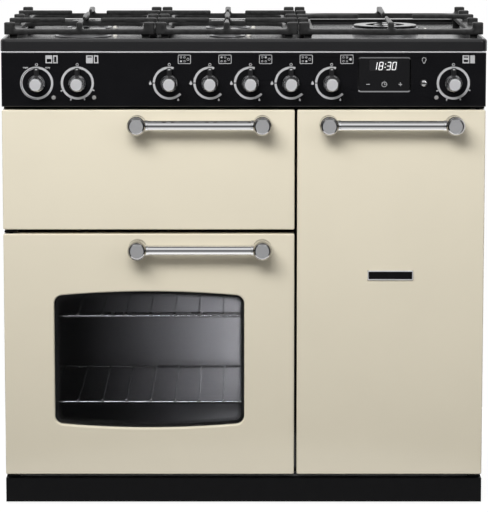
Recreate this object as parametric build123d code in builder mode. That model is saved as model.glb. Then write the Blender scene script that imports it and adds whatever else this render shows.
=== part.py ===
from build123d import *
import os
from math import cos, radians, sin

# A free-standing dual fuel range cooker: five gas burners under three cast pan supports,
# a drop-down grill door, a windowed oven on the left and a tall oven on the right.
# Millimetres. +X is the cooker's right, +Y its back, +Z up. The origin is on the floor,
# in the middle of the width and of the depth with the handles.

# Overall size
body_width = 896.0
hob_side_overhang = 2.0
body_depth = 608.0
handle_reach = 46.0

# Heights, from the floor up
floor_clearance = 3.0
plinth_height = 45.0
base_thickness = 3.0
door_lift = 5.0
left_door_height = 458.0
door_gap = 8.0
grill_door_height = 224.0
fascia_gap = 6.0
fascia_height = 100.0
hob_gap = 3.0
hob_rim_height = 23.0
hob_recess = 8.0
pan_support_rise = 27.0

# Doors
right_door_width = 348.5
door_side_gap = 5.0
door_skin = 2.0
door_shell_depth = 24.0
door_edge_radius = 2.5
door_corner_radius = 3.0
liner_depth = 18.0
liner_wall = 2.0
liner_inset = 16.0
window_side_margin = 93.75
window_height_margin = 107.5
window_bow = 8.5
window_corner = 16.0
window_lip_depth = 8.0
window_lip_wall = 3.5
window_lip_radius = 3.5
window_drop = 10.0
glass_thickness = 4.0
glass_overlap = 9.0

# Handles
handle_spacing = 232.0
handle_drop = 26.5
left_handle_inset = 60.0
post_radius = 17.5
post_chamfer = 5.0
post_groove = 1.2
bar_radius = 8.5
bar_stand_off = 27.0
bar_socket = 8.0
socket_clearance = 0.1

# Carcass sheet metal
panel_thickness = 2.0
frame_thickness = 3.0
seal_gap = 6.0
seal_width = 9.0
seal_inset = 5.0
seal_squeeze = 0.4
plinth_wall = 2.5
plinth_return = 28.0
plinth_set_back = 2.0
base_overhang = 26.0

# Oven and grill cavities
cavity_wall = 2.0
rear_space = 129.0
oven_floor_lift = 36.0
left_oven_side_margin = 48.25
left_oven_top_margin = 32.0
right_oven_side_margin = 38.25
right_oven_top_margin = 44.0
grill_floor_lift = 23.0
grill_side_margin = 38.25
grill_top_margin = 21.0
cavity_corner = 12.0

# Oven furniture
shelf_rear_gap = 18.0
shelf_front_gap = 12.0
shelf_rod_radius = 3.0
shelf_rail_radius = 2.7
shelf_wire_radius = 2.0
shelf_wire_pitch = 46.0
shelf_side_clearance = 2.5
shelf_seat_gap = 0.1
rack_plate = 1.5
rack_ledge_width = 11.0
rack_ledge_height = 6.0
left_shelf_levels = (86.0, 252.0)
right_shelf_levels = (86.0, 226.0, 366.0)
rack_window_margin = 24.0

# Fans
fan_radius = 70.0
fan_hub_radius = 14.0
fan_depth = 24.0
fan_blades = 10
fan_blade_thickness = 2.0
fan_plate = 1.5
fan_wall_gap = 6.0
fan_chamber = 42.0
fan_cover_wall = 1.5
fan_cover_side_gap = 6.0
fan_cover_end_gap = 14.0
fan_cover_slot = 3.0
fan_cover_slot_margin = 24.0
fan_outlets = 7
fan_outlet_height = 26.0
fan_outlet_width = 20.0
fan_shaft_radius = 4.0
shaft_clearance = 0.08
motor_radius = 34.0
motor_length = 56.0
motor_flange_radius = 44.0
motor_flange = 4.0
fan_element_radius = 90.0
fan_element_tube = 3.5
fan_element_ferrule = 4.5

# Grill
grill_tube = 3.5
grill_runs = 6
grill_element_drop = 16.0
grill_run_pitch = 62.0
grill_run_length = 250.0
grill_element_bend = 20.0
grill_ledge_width = 14.0
grill_ledge_height = 5.0
grill_ledge_lift = 58.0
grill_pan_rear_gap = 54.0
grill_pan_height = 34.0
grill_pan_wall = 2.0
grill_pan_rim = 12.0
grill_pan_side_clearance = 3.0
trivet_margin = 6.0
trivet_wires = 12

# Control panel and controls
fascia_wall = 2.5
fascia_edge_radius = 2.0
knob_height = 44.0
grill_knob_inset = 65.5
knob_pitch = 75.0
burner_knob_clock_gap = 49.0
right_oven_knob_inset = 60.5
knob_gap = 1.2
knob_skirt_radius = 15.5
knob_skirt_depth = 6.0
knob_shoulder_radius = 14.5
knob_neck_radius = 10.8
knob_neck_depth = 14.0
knob_cap_radius = 11.5
knob_reach = 40.0
knob_cap_edge = 1.2
knob_pointer_root = 5.0
knob_pointer_tip = 9.0
knob_pointer_reach = 24.5
knob_pointer_depth = 11.0
spindle_radius = 4.0
spindle_reach = 22.0
spindle_clearance = 0.1
spindle_hole_clearance = 1.0
control_body = 40.0
control_depth = 24.0
tap_body_width = 28.0
tap_body_height = 28.0
tap_boss_radius = 10.0
tap_boss_length = 13.5
tap_depth = 40.0
rail_size = 16.0
rail_overhang = 30.0
gas_inlet_inset = 28.0
inlet_pipe_radius = 13.0
inlet_bore_radius = 9.3
inlet_bore_depth = 15.0
inlet_pipe_bore = 7.0
rear_hole_clearance = 2.0
clock_inset = 188.0
clock_width = 97.0
clock_height = 64.0
clock_corner = 5.0
clock_lift = 9.5
clock_recess = 1.2
clock_glass = 3.0
clock_body_margin = 4.0
clock_body_depth = 24.0
button_inset = 115.0
button_radius = 8.0
button_clearance = 0.35
button_reach = 4.5
button_travel = 2.5
button_flange = 2.0
button_stem_radius = 3.0
button_stem = 9.0
switch_size = 22.0
switch_gap = 0.5
lens_radius = 4.0
lens_reach = 2.0
lens_offset_x = 31.0
lens_offset_z = 27.0

# Hob
hob_overhang = 2.0
hob_corner = 14.0
hob_edge_radius = 6.0
hob_rim = 10.0
hob_rear_strip = 92.0
hob_recess_corner = 18.0
hob_recess_radius = 3.0
hob_wall = 3.0
vent_slots = 16
vent_slot_length = 34.0
vent_slot_width = 7.0

# Burners, each measured from the nearer edge of its pan support
pan_support_set_back = 46.0
pan_support_rear_gap = 18.0
front_burner_depth = 125.0
rear_burner_depth = 113.0
rapid_radius = 47.0
semi_rapid_radius = 37.0
simmer_radius = 27.0
wok_radius = 64.0
wok_ring_width = 24.0
wok_inner_radius = 24.0
burner_flange = 7.0
burner_flange_height = 2.5
burner_crown_height = 7.5
burner_cap_height = 5.0
burner_cap_inset = 3.0
burner_ports = 24
burner_port_radius = 1.2
burner_cup_depth = 34.0
burner_cup_inset = 9.0
burner_throat_radius = 8.0
burner_hole_clearance = 0.5
electrode_radius = 2.5
electrode_collar = 4.5
electrode_gap = 7.0
electrode_top_drop = 2.0
electrode_length = 38.0

# Pan supports
support_bar_height = 10.0
support_leg_gap = 4.0
support_side_band = 27.0
support_cross_bar = 11.0
support_gap = 2.0
support_end_gap = 4.0
left_support_width = 280.0
centre_support_width = 265.0
support_corner = 8.0
support_opening_corner = 42.0
finger_root = 10.0
finger_tip = 6.0
finger_depth = 9.0
finger_foot = 11.0
finger_burner_gap = 34.0
wok_finger_gap = 52.0
nub_length = 20.0
nub_depth = 13.0
nub_radius = 2.5
leg_size = 14.0
leg_inset = 10.0

# Hinges
hinge_pin_radius = 4.0
hinge_pin_length = 15.0
hinge_clearance = 0.08
hinge_inset = 14.0
hinge_plate = 2.5
hinge_plate_width = 24.0
hinge_plate_gap = 2.0
hinge_nose = 8.0
hinge_foot = 18.0
hinge_block = 20.0
grill_axis_inset = 8.0
grill_arm_height = 10.0
grill_arm_thickness = 3.0
grill_arm_gap = 1.5
grill_notch = 6.0
grill_notch_height = 15.0

# Feet and rollers
foot_inset = 48.0
foot_set_back = 96.0
foot_pad_radius = 20.0
foot_pad_height = 8.0
foot_stem_radius = 5.0
foot_stem_above = 18.0
foot_nut_radius = 9.0
foot_nut_height = 8.0
foot_clearance = 0.2
roller_inset = 68.0
roller_rear_inset = 60.0
roller_radius = 22.0
roller_width = 24.0
roller_axle_radius = 4.0
roller_clearance = 0.08
roller_side_gap = 0.6
roller_bracket = 3.0
roller_bracket_width = 26.0
roller_bracket_drop = 8.0

# Badge, terminal box and cable gland
badge_width = 85.0
badge_height = 18.0
badge_thickness = 2.0
badge_height_in_door = 380.0
terminal_inset = 148.0
terminal_height = 120.0
terminal_width = 90.0
terminal_box_height = 60.0
terminal_depth = 40.0
gland_radius = 12.0
gland_bore = 8.0
gland_length = 20.0


def inset(span, amount):
    """A span drawn in by an amount at both ends."""
    return (span[0] + amount, span[1] - amount)


# Planes and levels that the sizes above give
front_y = (handle_reach - body_depth) / 2
rear_y = front_y + body_depth
shell_back_y = front_y + door_shell_depth
door_back_y = shell_back_y + liner_depth
frame_front_y = door_back_y + seal_gap
frame_back_y = frame_front_y + frame_thickness
cavity_back_y = rear_y - rear_space
cavity_depth = cavity_back_y - frame_back_y
shelf_depth = cavity_depth - fan_chamber - shelf_front_gap - shelf_rear_gap
hob_front_y = front_y - hob_overhang

plinth_top_z = floor_clearance + plinth_height
base_top_z = plinth_top_z + base_thickness
door_bottom_z = base_top_z + door_lift
left_door_top_z = door_bottom_z + left_door_height
grill_door_bottom_z = left_door_top_z + door_gap
door_top_z = grill_door_bottom_z + grill_door_height
fascia_bottom_z = door_top_z + fascia_gap
fascia_top_z = fascia_bottom_z + fascia_height
hob_bottom_z = fascia_top_z + hob_gap
hob_top_z = hob_bottom_z + hob_rim_height
hob_surface_z = hob_top_z - hob_recess
support_top_z = hob_top_z + pan_support_rise
support_bottom_z = hob_top_z + support_leg_gap
knob_z = fascia_bottom_z + knob_height

hob_width = body_width + 2 * hob_side_overhang
half_body = body_width / 2
inner_half = half_body - panel_thickness
right_door_x = (half_body - right_door_width, half_body)
left_doors_x = (-half_body, right_door_x[0] - door_side_gap)
left_middle_x = sum(left_doors_x) / 2
right_middle_x = sum(right_door_x) / 2

oven_floor_z = door_bottom_z + oven_floor_lift
grill_floor_z = grill_door_bottom_z + grill_floor_lift
left_oven_x = inset(left_doors_x, left_oven_side_margin)
right_oven_x = inset(right_door_x, right_oven_side_margin)
grill_x = inset(left_doors_x, grill_side_margin)
left_oven_z = (oven_floor_z, left_door_top_z - left_oven_top_margin)
right_oven_z = (oven_floor_z, door_top_z - right_oven_top_margin)
grill_z = (grill_floor_z, door_top_z - grill_top_margin)

support_front_y = front_y + pan_support_set_back
support_back_y = rear_y - hob_rear_strip - pan_support_rear_gap
pan_support_depth = support_back_y - support_front_y
front_burner_y = support_front_y + front_burner_depth
rear_burner_y = support_back_y - rear_burner_depth
wok_burner_y = support_front_y + pan_support_depth / 2

supports_x = inset((-hob_width / 2, hob_width / 2), support_end_gap)
left_support_x = (supports_x[0], supports_x[0] + left_support_width)
centre_support_start_x = left_support_x[1] + support_gap
centre_support_x = (centre_support_start_x, centre_support_start_x + centre_support_width)
right_support_x = (centre_support_x[1] + support_gap, supports_x[1])
left_burner_x = sum(left_support_x) / 2
centre_burner_x = sum(centre_support_x) / 2
wok_burner_x = sum(right_support_x) / 2

grill_knob_x = -half_body + grill_knob_inset
oven_knob_x = grill_knob_x + knob_pitch
right_oven_knob_x = half_body - right_oven_knob_inset
clock_x = half_body - clock_inset
button_x = half_body - button_inset
last_burner_knob_x = clock_x - clock_width / 2 - burner_knob_clock_gap
burner_knob_xs = [last_burner_knob_x - (4 - i) * knob_pitch for i in range(5)]

foot_x = half_body - foot_inset
roller_x = half_body - roller_inset
gas_inlet_x = half_body - gas_inlet_inset
terminal_x = -half_body + terminal_inset

# Centre and crown radius of each plain burner, then of the wok burner
plain_burners = [
    (left_burner_x, front_burner_y, rapid_radius),
    (left_burner_x, rear_burner_y, semi_rapid_radius),
    (centre_burner_x, rear_burner_y, semi_rapid_radius),
    (centre_burner_x, front_burner_y, simmer_radius),
]
wok_burner = (wok_burner_x, wok_burner_y, wok_radius)


def save(builder, name):
    """Labels a finished piece and writes its STEP file."""
    builder.part.label = name
    export_step(builder.part, f"parts/{name}.step")


def front_plane(y):
    """Upright plane at depth y that faces the front: its x is X and its y is Z."""
    return Plane.XZ.offset(-y)


def block(x, y, z, mode=Mode.ADD):
    """Box between two values of each axis."""
    with Locations((sum(x) / 2, sum(y) / 2, sum(z) / 2)):
        Box(x[1] - x[0], y[1] - y[0], z[1] - z[0], mode=mode)


def rod_x(x, y, z, radius, mode=Mode.ADD):
    """Round rod along X."""
    with Locations(Location((sum(x) / 2, y, z), (0, 90, 0))):
        Cylinder(radius, x[1] - x[0], mode=mode)


def rod_y(x, y, z, radius, mode=Mode.ADD):
    """Round rod along Y."""
    with Locations(Location((x, sum(y) / 2, z), (90, 0, 90))):
        Cylinder(radius, y[1] - y[0], mode=mode)


def rod_z(x, y, z, radius, mode=Mode.ADD):
    """Round rod along Z."""
    with Locations((x, y, sum(z) / 2)):
        Cylinder(radius, z[1] - z[0], mode=mode)


# Carcass

def make_base_frame():
    """Floor pan with the rear rollers' brackets and axles, and holes for the feet."""
    with BuildPart() as base_frame:
        block(
            (-inner_half, inner_half),
            (frame_front_y - base_overhang, rear_y - panel_thickness),
            (plinth_top_z, base_top_z),
        )
        for side in (-1, 1):
            rod_z(
                side * foot_x, front_y + foot_set_back, (plinth_top_z, base_top_z),
                foot_stem_radius + foot_clearance, Mode.SUBTRACT,
            )
            ears = roller_width / 2 + roller_side_gap
            axle_y = rear_y - roller_rear_inset
            for ear in (-1, 1):
                ear_x = side * roller_x + ear * (ears + roller_bracket / 2)
                block(
                    (ear_x - roller_bracket / 2, ear_x + roller_bracket / 2),
                    (axle_y - roller_bracket_width / 2, axle_y + roller_bracket_width / 2),
                    (roller_radius - roller_bracket_drop, plinth_top_z),
                )
            rod_x(
                (side * roller_x - ears, side * roller_x + ears),
                axle_y, roller_radius, roller_axle_radius,
            )
    save(base_frame, "base_frame")


def make_levelling_feet():
    """Two screw feet under the front corners, each with its lock nut under the floor pan."""
    with BuildPart() as levelling_feet:
        for side in (-1, 1):
            x, y = side * foot_x, front_y + foot_set_back
            rod_z(x, y, (0, foot_pad_height), foot_pad_radius)
            rod_z(x, y, (0, base_top_z + foot_stem_above), foot_stem_radius)
            with BuildSketch(Plane.XY.offset(plinth_top_z - foot_nut_height)):
                with Locations((x, y)):
                    RegularPolygon(foot_nut_radius, 6)
            extrude(amount=foot_nut_height)
    save(levelling_feet, "levelling_feet")


def make_rear_rollers():
    """Two rollers that the back of the cooker is wheeled on."""
    with BuildPart() as rear_rollers:
        for side in (-1, 1):
            x = (side * roller_x - roller_width / 2, side * roller_x + roller_width / 2)
            rod_x(x, rear_y - roller_rear_inset, roller_radius, roller_radius)
            rod_x(
                x, rear_y - roller_rear_inset, roller_radius,
                roller_axle_radius + roller_clearance, Mode.SUBTRACT,
            )
    save(rear_rollers, "rear_rollers")


def make_front_frame():
    """Enamelled front surround with an opening for each cavity."""
    with BuildPart() as front_frame:
        block(
            (-inner_half, inner_half), (frame_front_y, frame_back_y),
            (base_top_z, fascia_bottom_z),
        )
        for x, z in ((left_oven_x, left_oven_z), (right_oven_x, right_oven_z), (grill_x, grill_z)):
            with BuildSketch(front_plane(frame_back_y)):
                with Locations((sum(x) / 2, sum(z) / 2)):
                    RectangleRounded(x[1] - x[0], z[1] - z[0], cavity_corner)
            extrude(amount=frame_thickness, mode=Mode.SUBTRACT)
    save(front_frame, "front_frame")


def make_side_panel(name, side):
    """Outer side panel, from the floor pan to the underside of the hob."""
    with BuildPart() as side_panel:
        outer, inner = side * half_body, side * inner_half
        block(
            (min(outer, inner), max(outer, inner)),
            (frame_front_y, rear_y),
            (plinth_top_z, hob_bottom_z),
        )
    save(side_panel, name)


def make_rear_panel():
    """Back cover with openings for the gas inlet and the cable gland."""
    with BuildPart() as rear_panel:
        block(
            (-inner_half, inner_half), (rear_y - panel_thickness, rear_y),
            (plinth_top_z, hob_bottom_z),
        )
        holes = (
            (gas_inlet_x, rail_z(), inlet_pipe_radius),
            (terminal_x, terminal_height, gland_radius),
        )
        for x, z, radius in holes:
            rod_y(
                x, (rear_y - panel_thickness, rear_y), z,
                radius + rear_hole_clearance, Mode.SUBTRACT,
            )
    save(rear_panel, "rear_panel")


def make_plinth():
    """Kick plate in front of the feet, with a top flange under the floor pan."""
    y0 = front_y + plinth_set_back
    with BuildPart() as plinth:
        block(
            (-half_body, half_body), (y0, frame_front_y - base_overhang + plinth_return),
            (floor_clearance, plinth_top_z),
        )
        front_edges = plinth.faces().sort_by(Axis.Y)[0].edges()
        fillet(front_edges.group_by(Axis.Z)[-1], fascia_edge_radius)
        block(
            inset((-half_body, half_body), plinth_wall),
            (y0 + plinth_wall, frame_front_y - base_overhang + plinth_return),
            (floor_clearance, plinth_top_z - plinth_wall), Mode.SUBTRACT,
        )
    save(plinth, "plinth")


# Cavities and what is in them

def make_cavity(name, x, z, fan_z=None, ledge_z=None):
    """Open-fronted enamelled box behind its opening in the front frame."""
    with BuildPart() as cavity:
        with BuildSketch(front_plane(cavity_back_y + cavity_wall)):
            with Locations((sum(x) / 2, sum(z) / 2)):
                RectangleRounded(
                    x[1] - x[0] + 2 * cavity_wall, z[1] - z[0] + 2 * cavity_wall,
                    cavity_corner + cavity_wall,
                )
        extrude(amount=cavity_depth + cavity_wall)
        with BuildSketch(front_plane(cavity_back_y)):
            with Locations((sum(x) / 2, sum(z) / 2)):
                RectangleRounded(x[1] - x[0], z[1] - z[0], cavity_corner)
        extrude(amount=cavity_depth, mode=Mode.SUBTRACT)
        if fan_z is not None:
            rod_y(
                sum(x) / 2, (cavity_back_y, cavity_back_y + cavity_wall), fan_z,
                fan_shaft_radius + shaft_clearance * 10, Mode.SUBTRACT,
            )
        if ledge_z is not None:
            for edge in ((x[0], x[0] + grill_ledge_width), (x[1] - grill_ledge_width, x[1])):
                block(
                    edge, (frame_back_y + shelf_front_gap, cavity_back_y),
                    (ledge_z - grill_ledge_height, ledge_z),
                )
    save(cavity, name)


def fan_z(z):
    """Height of a cavity's fan axis."""
    return sum(z) / 2


def make_shelf_supports():
    """Side racks of both ovens: a plate on each wall with a ledge for every shelf level."""
    with BuildPart() as shelf_supports:
        y = (frame_back_y + shelf_front_gap, frame_back_y + shelf_front_gap + shelf_depth)
        ovens = (
            (left_oven_x, left_oven_z, left_shelf_levels),
            (right_oven_x, right_oven_z, right_shelf_levels),
        )
        for x, z, levels in ovens:
            plate_z = inset(z, cavity_corner)
            for wall, inward in ((x[0], 1), (x[1], -1)):
                plate_x = sorted((wall, wall + inward * rack_plate))
                block(plate_x, y, plate_z)
                ledge_x = sorted((wall, wall + inward * rack_ledge_width))
                for level in levels:
                    block(ledge_x, y, (z[0] + level - rack_ledge_height, z[0] + level))
                tops = [z[0] + level for level in levels]
                gaps = zip(tops, [top - rack_ledge_height for top in tops[1:]] + [plate_z[1]])
                for low, high in gaps:
                    block(
                        plate_x, inset(y, rack_window_margin),
                        inset((low, high), rack_window_margin), Mode.SUBTRACT,
                    )
    save(shelf_supports, "shelf_supports")


def wire_grid(x, y, z, wires):
    """Wire shelf: a rod frame with wires from front to back on it. z is what it rests on."""
    rod_z_centre = z + shelf_seat_gap + shelf_rod_radius
    side_xs = inset(x, shelf_rod_radius)
    for side_x in side_xs:
        rod_y(side_x, y, rod_z_centre, shelf_rod_radius)
    for rail_y in inset(y, 2 * shelf_rod_radius):
        rod_x(side_xs, rail_y, rod_z_centre, shelf_rail_radius)
    wire_z = rod_z_centre + shelf_rail_radius
    for wire_x in wires:
        rod_y(wire_x, inset(y, shelf_rod_radius), wire_z, shelf_wire_radius)


def make_shelves(name, x, floor_z, levels):
    """The wire shelves of one oven."""
    margin = rack_plate + shelf_side_clearance
    shelf_x = inset(x, margin)
    count = int((shelf_x[1] - shelf_x[0]) // shelf_wire_pitch)
    middle = sum(x) / 2
    wires = [middle + (i - (count - 1) / 2) * shelf_wire_pitch for i in range(count)]
    y = (frame_back_y + shelf_front_gap, frame_back_y + shelf_front_gap + shelf_depth)
    with BuildPart() as shelves:
        for level in levels:
            wire_grid(shelf_x, y, floor_z + level, wires)
    save(shelves, name)


def make_fan_covers():
    """Back panels over the oven fans: air goes in by a slot across and out by openings at the sides."""
    with BuildPart() as fan_covers:
        for x, z in ((left_oven_x, left_oven_z), (right_oven_x, right_oven_z)):
            cover_x = inset(x, fan_cover_side_gap)
            cover_z = inset(z, fan_cover_end_gap)
            y0 = cavity_back_y - fan_chamber
            block(cover_x, (y0, cavity_back_y), cover_z)
            block(
                inset(cover_x, fan_cover_wall), (y0 + fan_cover_wall, cavity_back_y),
                inset(cover_z, fan_cover_wall), Mode.SUBTRACT,
            )
            slot_z = (fan_z(z) - fan_cover_slot / 2, fan_z(z) + fan_cover_slot / 2)
            block(
                inset(cover_x, fan_cover_slot_margin), (y0, y0 + fan_cover_wall), slot_z,
                Mode.SUBTRACT,
            )
            outlet_y = y0 + fan_chamber / 2
            pitch = (cover_z[1] - cover_z[0]) / fan_outlets
            for i in range(fan_outlets):
                outlet_z = cover_z[0] + (i + 0.5) * pitch
                block(
                    cover_x,
                    (outlet_y - fan_outlet_width / 2, outlet_y + fan_outlet_width / 2),
                    (outlet_z - fan_outlet_height / 2, outlet_z + fan_outlet_height / 2),
                    Mode.SUBTRACT,
                )
    save(fan_covers, "fan_covers")


def make_fan(name, x, z):
    """Oven fan: hub, back plate and straight blades."""
    middle, axis_z = sum(x) / 2, fan_z(z)
    back_y = cavity_back_y - fan_wall_gap
    with BuildPart(Plane(origin=(middle, back_y, axis_z), x_dir=(1, 0, 0), z_dir=(0, -1, 0))) as fan:
        low = (Align.CENTER, Align.CENTER, Align.MIN)
        Cylinder(fan_radius, fan_plate, align=low)
        Cylinder(fan_hub_radius, fan_depth, align=low)
        with PolarLocations(0, fan_blades):
            with Locations((fan_hub_radius - 1, 0, 0)):
                Box(
                    fan_radius - fan_hub_radius + 1, fan_blade_thickness, fan_depth,
                    align=(Align.MIN, Align.CENTER, Align.MIN),
                )
        Cylinder(fan_shaft_radius + shaft_clearance, fan_depth, align=low, mode=Mode.SUBTRACT)
    save(fan, name)


def make_fan_motors():
    """Motors behind the ovens' back walls, with the shafts that the fans turn on."""
    wall_y = cavity_back_y + cavity_wall
    with BuildPart() as fan_motors:
        for x, z in ((left_oven_x, left_oven_z), (right_oven_x, right_oven_z)):
            middle, axis_z = sum(x) / 2, fan_z(z)
            rod_y(middle, (wall_y, wall_y + motor_flange), axis_z, motor_flange_radius)
            rod_y(middle, (wall_y, wall_y + motor_length), axis_z, motor_radius)
            shaft_tip = cavity_back_y - fan_wall_gap - fan_depth
            rod_y(middle, (shaft_tip, wall_y), axis_z, fan_shaft_radius)
    save(fan_motors, "fan_motors")


def make_heating_elements():
    """Serpentine grill element under the grill's roof, and a ring element round each fan."""
    z0 = grill_z[1] - grill_element_drop
    middle = sum(grill_x) / 2
    front = cavity_back_y - grill_element_bend - grill_run_length
    back = cavity_back_y - grill_element_bend
    xs = [middle + (i - (grill_runs - 1) / 2) * grill_run_pitch for i in range(grill_runs)]
    points = [(xs[0], cavity_back_y, z0)]
    for i, x in enumerate(xs[:-1]):
        turn_y = front if i % 2 == 0 else back
        points += [(x, turn_y, z0), (xs[i + 1], turn_y, z0)]
    points.append((xs[-1], cavity_back_y, z0))
    with BuildPart() as heating_elements:
        with BuildLine() as path:
            FilletPolyline(*points, radius=grill_element_bend)
        start = Plane(origin=path.line @ 0, z_dir=path.line % 0)
        with BuildSketch(start):
            Circle(grill_tube)
        sweep(path=path.line)
        for x, z in ((left_oven_x, left_oven_z), (right_oven_x, right_oven_z)):
            ring_y = cavity_back_y - fan_chamber / 2
            with Locations(Location((sum(x) / 2, ring_y, fan_z(z)), (90, 0, 0))):
                Torus(fan_element_radius, fan_element_tube)
            for side in (-1, 1):
                rod_y(
                    sum(x) / 2 + side * fan_element_radius,
                    (ring_y - fan_element_ferrule, cavity_back_y), fan_z(z), fan_element_ferrule,
                )
    save(heating_elements, "heating_elements")


def grill_pan_spans():
    """Outer width and depth of the grill pan's body, inside the two ledges."""
    clear = grill_ledge_width + grill_pan_side_clearance
    y0 = frame_back_y + 2 * shelf_front_gap
    return inset(grill_x, clear), (y0, cavity_back_y - grill_pan_rear_gap)


def make_grill_pan():
    """Enamelled pan that hangs by its rim on the ledges in the grill cavity."""
    x, y = grill_pan_spans()
    rim_z = grill_floor_z + grill_ledge_lift
    with BuildPart() as grill_pan:
        block(x, y, (rim_z - grill_pan_height, rim_z))
        block(inset(x, -grill_pan_rim), y, (rim_z, rim_z + grill_pan_wall))
        block(
            inset(x, grill_pan_wall), inset(y, grill_pan_wall),
            (rim_z - grill_pan_height + grill_pan_wall, rim_z + grill_pan_wall), Mode.SUBTRACT,
        )
    save(grill_pan, "grill_pan")


def make_grill_trivet():
    """Wire trivet standing in the grill pan."""
    pan_x, pan_y = grill_pan_spans()
    x = inset(pan_x, grill_pan_wall + trivet_margin)
    y = inset(pan_y, grill_pan_wall + trivet_margin)
    floor_z = grill_floor_z + grill_ledge_lift - grill_pan_height + grill_pan_wall
    pitch = (x[1] - x[0]) / (trivet_wires + 1)
    with BuildPart() as grill_trivet:
        wire_grid(x, y, floor_z, [x[0] + pitch * (i + 1) for i in range(trivet_wires)])
    save(grill_trivet, "grill_trivet")


def make_oven_seals():
    """Soft rectangular seals on the front frame round the two oven openings."""
    y0 = frame_front_y - (seal_gap - seal_squeeze)
    with BuildPart() as oven_seals:
        for x, z in ((left_oven_x, left_oven_z), (right_oven_x, right_oven_z)):
            with BuildSketch(front_plane(frame_front_y)):
                with Locations((sum(x) / 2, sum(z) / 2)):
                    for grow, mode in ((seal_inset + seal_width, Mode.ADD), (seal_inset, Mode.SUBTRACT)):
                        RectangleRounded(
                            x[1] - x[0] + 2 * grow, z[1] - z[0] + 2 * grow,
                            cavity_corner + grow, mode=mode,
                        )
            extrude(amount=frame_front_y - y0)
    save(oven_seals, "oven_seals")


# Doors

def door_shell(x, z):
    """Pressed outer door skin with its four edges turned back."""
    block(x, (front_y, shell_back_y), z)
    fillet(edges().filter_by(Axis.Y), door_corner_radius)
    fillet(faces().sort_by(Axis.Y)[0].edges(), door_edge_radius)
    block(
        inset(x, door_skin), (front_y + door_skin, shell_back_y),
        inset(z, door_skin), Mode.SUBTRACT,
    )


def window_outline(grow):
    """Lines of the window with bowed top and bottom, grown outwards all round."""
    left, right = inset(left_doors_x, window_side_margin - grow)
    low, high = inset((door_bottom_z, left_door_top_z), window_height_margin - grow)
    low, high = low - window_drop, high - window_drop
    ThreePointArc((left, high), (left_middle_x, high + window_bow), (right, high))
    Line((right, high), (right, low))
    ThreePointArc((right, low), (left_middle_x, low - window_bow), (left, low))
    Line((left, low), (left, high))


def window_face(grow):
    """Fills the window's outline and rounds its corners."""
    make_face()
    fillet(vertices(), window_corner + grow)


def liner_shape(x, z):
    """Inner door liner: a flange behind the skin's edges and a raised pan towards the oven."""
    block(inset(x, door_skin), (shell_back_y, shell_back_y + liner_wall), inset(z, door_skin))
    pan_x, pan_z = inset(x, liner_inset), inset(z, liner_inset)
    block(pan_x, (shell_back_y, door_back_y), pan_z)
    fillet(faces().sort_by(Axis.Y)[-1].edges(), door_edge_radius)
    block(
        inset(pan_x, liner_wall), (shell_back_y, door_back_y - liner_wall),
        inset(pan_z, liner_wall), Mode.SUBTRACT,
    )


def hinge_x(side):
    """X of the upright hinge axis: side -1 is the left oven's door, 1 the right oven's."""
    return left_doors_x[0] + hinge_inset if side < 0 else right_door_x[1] - hinge_inset


def hinge_y():
    """Depth of both upright hinge axes."""
    return front_y + hinge_inset


def upright_hinge_blocks(side, z):
    """Bearing blocks at the hinged corners of a door, bored for the hinge pins."""
    x, y = hinge_x(side), hinge_y()
    reach = hinge_block / 2
    for low in (z[0] + door_skin, z[1] - door_skin - hinge_block):
        block((x - reach, x + reach), (y - reach, shell_back_y), (low, low + hinge_block))
        rod_z(x, y, (low, low + hinge_block), hinge_pin_radius + hinge_clearance, Mode.SUBTRACT)


def pin_holes(side, z):
    """Clearance holes for the hinge pins in the skin's turned edges."""
    for low in (z[0], z[1] - door_skin):
        rod_z(
            hinge_x(side), hinge_y(), (low, low + door_skin),
            hinge_pin_radius + spindle_hole_clearance, Mode.SUBTRACT,
        )


def make_left_door():
    """Windowed oven door, hinged at its left edge."""
    z = (door_bottom_z, left_door_top_z)
    with BuildPart() as left_door_panel:
        door_shell(left_doors_x, z)
        with BuildSketch(front_plane(front_y + window_lip_depth)):
            with BuildLine():
                window_outline(window_lip_wall)
            window_face(window_lip_wall)
        extrude(amount=window_lip_depth - door_skin / 2)
        with BuildSketch(front_plane(front_y + window_lip_depth)):
            with BuildLine():
                window_outline(0)
            window_face(0)
        extrude(amount=window_lip_depth, mode=Mode.SUBTRACT)
        fillet(faces().sort_by(Axis.Y)[0].inner_wires()[0].edges(), window_lip_radius)
        pin_holes(-1, z)
    save(left_door_panel, "left_door_panel")

    with BuildPart() as left_door_liner:
        liner_shape(left_doors_x, z)
        upright_hinge_blocks(-1, z)
        with BuildSketch(front_plane(door_back_y)):
            with BuildLine():
                window_outline(0)
            window_face(0)
        extrude(amount=liner_wall, mode=Mode.SUBTRACT)
    save(left_door_liner, "left_door_liner")

    with BuildPart() as outer_glass:
        with BuildSketch(front_plane(front_y + window_lip_depth + glass_thickness)):
            with BuildLine():
                window_outline(glass_overlap)
            window_face(glass_overlap)
        extrude(amount=glass_thickness)
    save(outer_glass, "left_door_outer_glass")

    with BuildPart() as inner_glass:
        with BuildSketch(front_plane(door_back_y - liner_wall)):
            with BuildLine():
                window_outline(glass_overlap)
            window_face(glass_overlap)
        extrude(amount=glass_thickness)
    save(inner_glass, "left_door_inner_glass")


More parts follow.
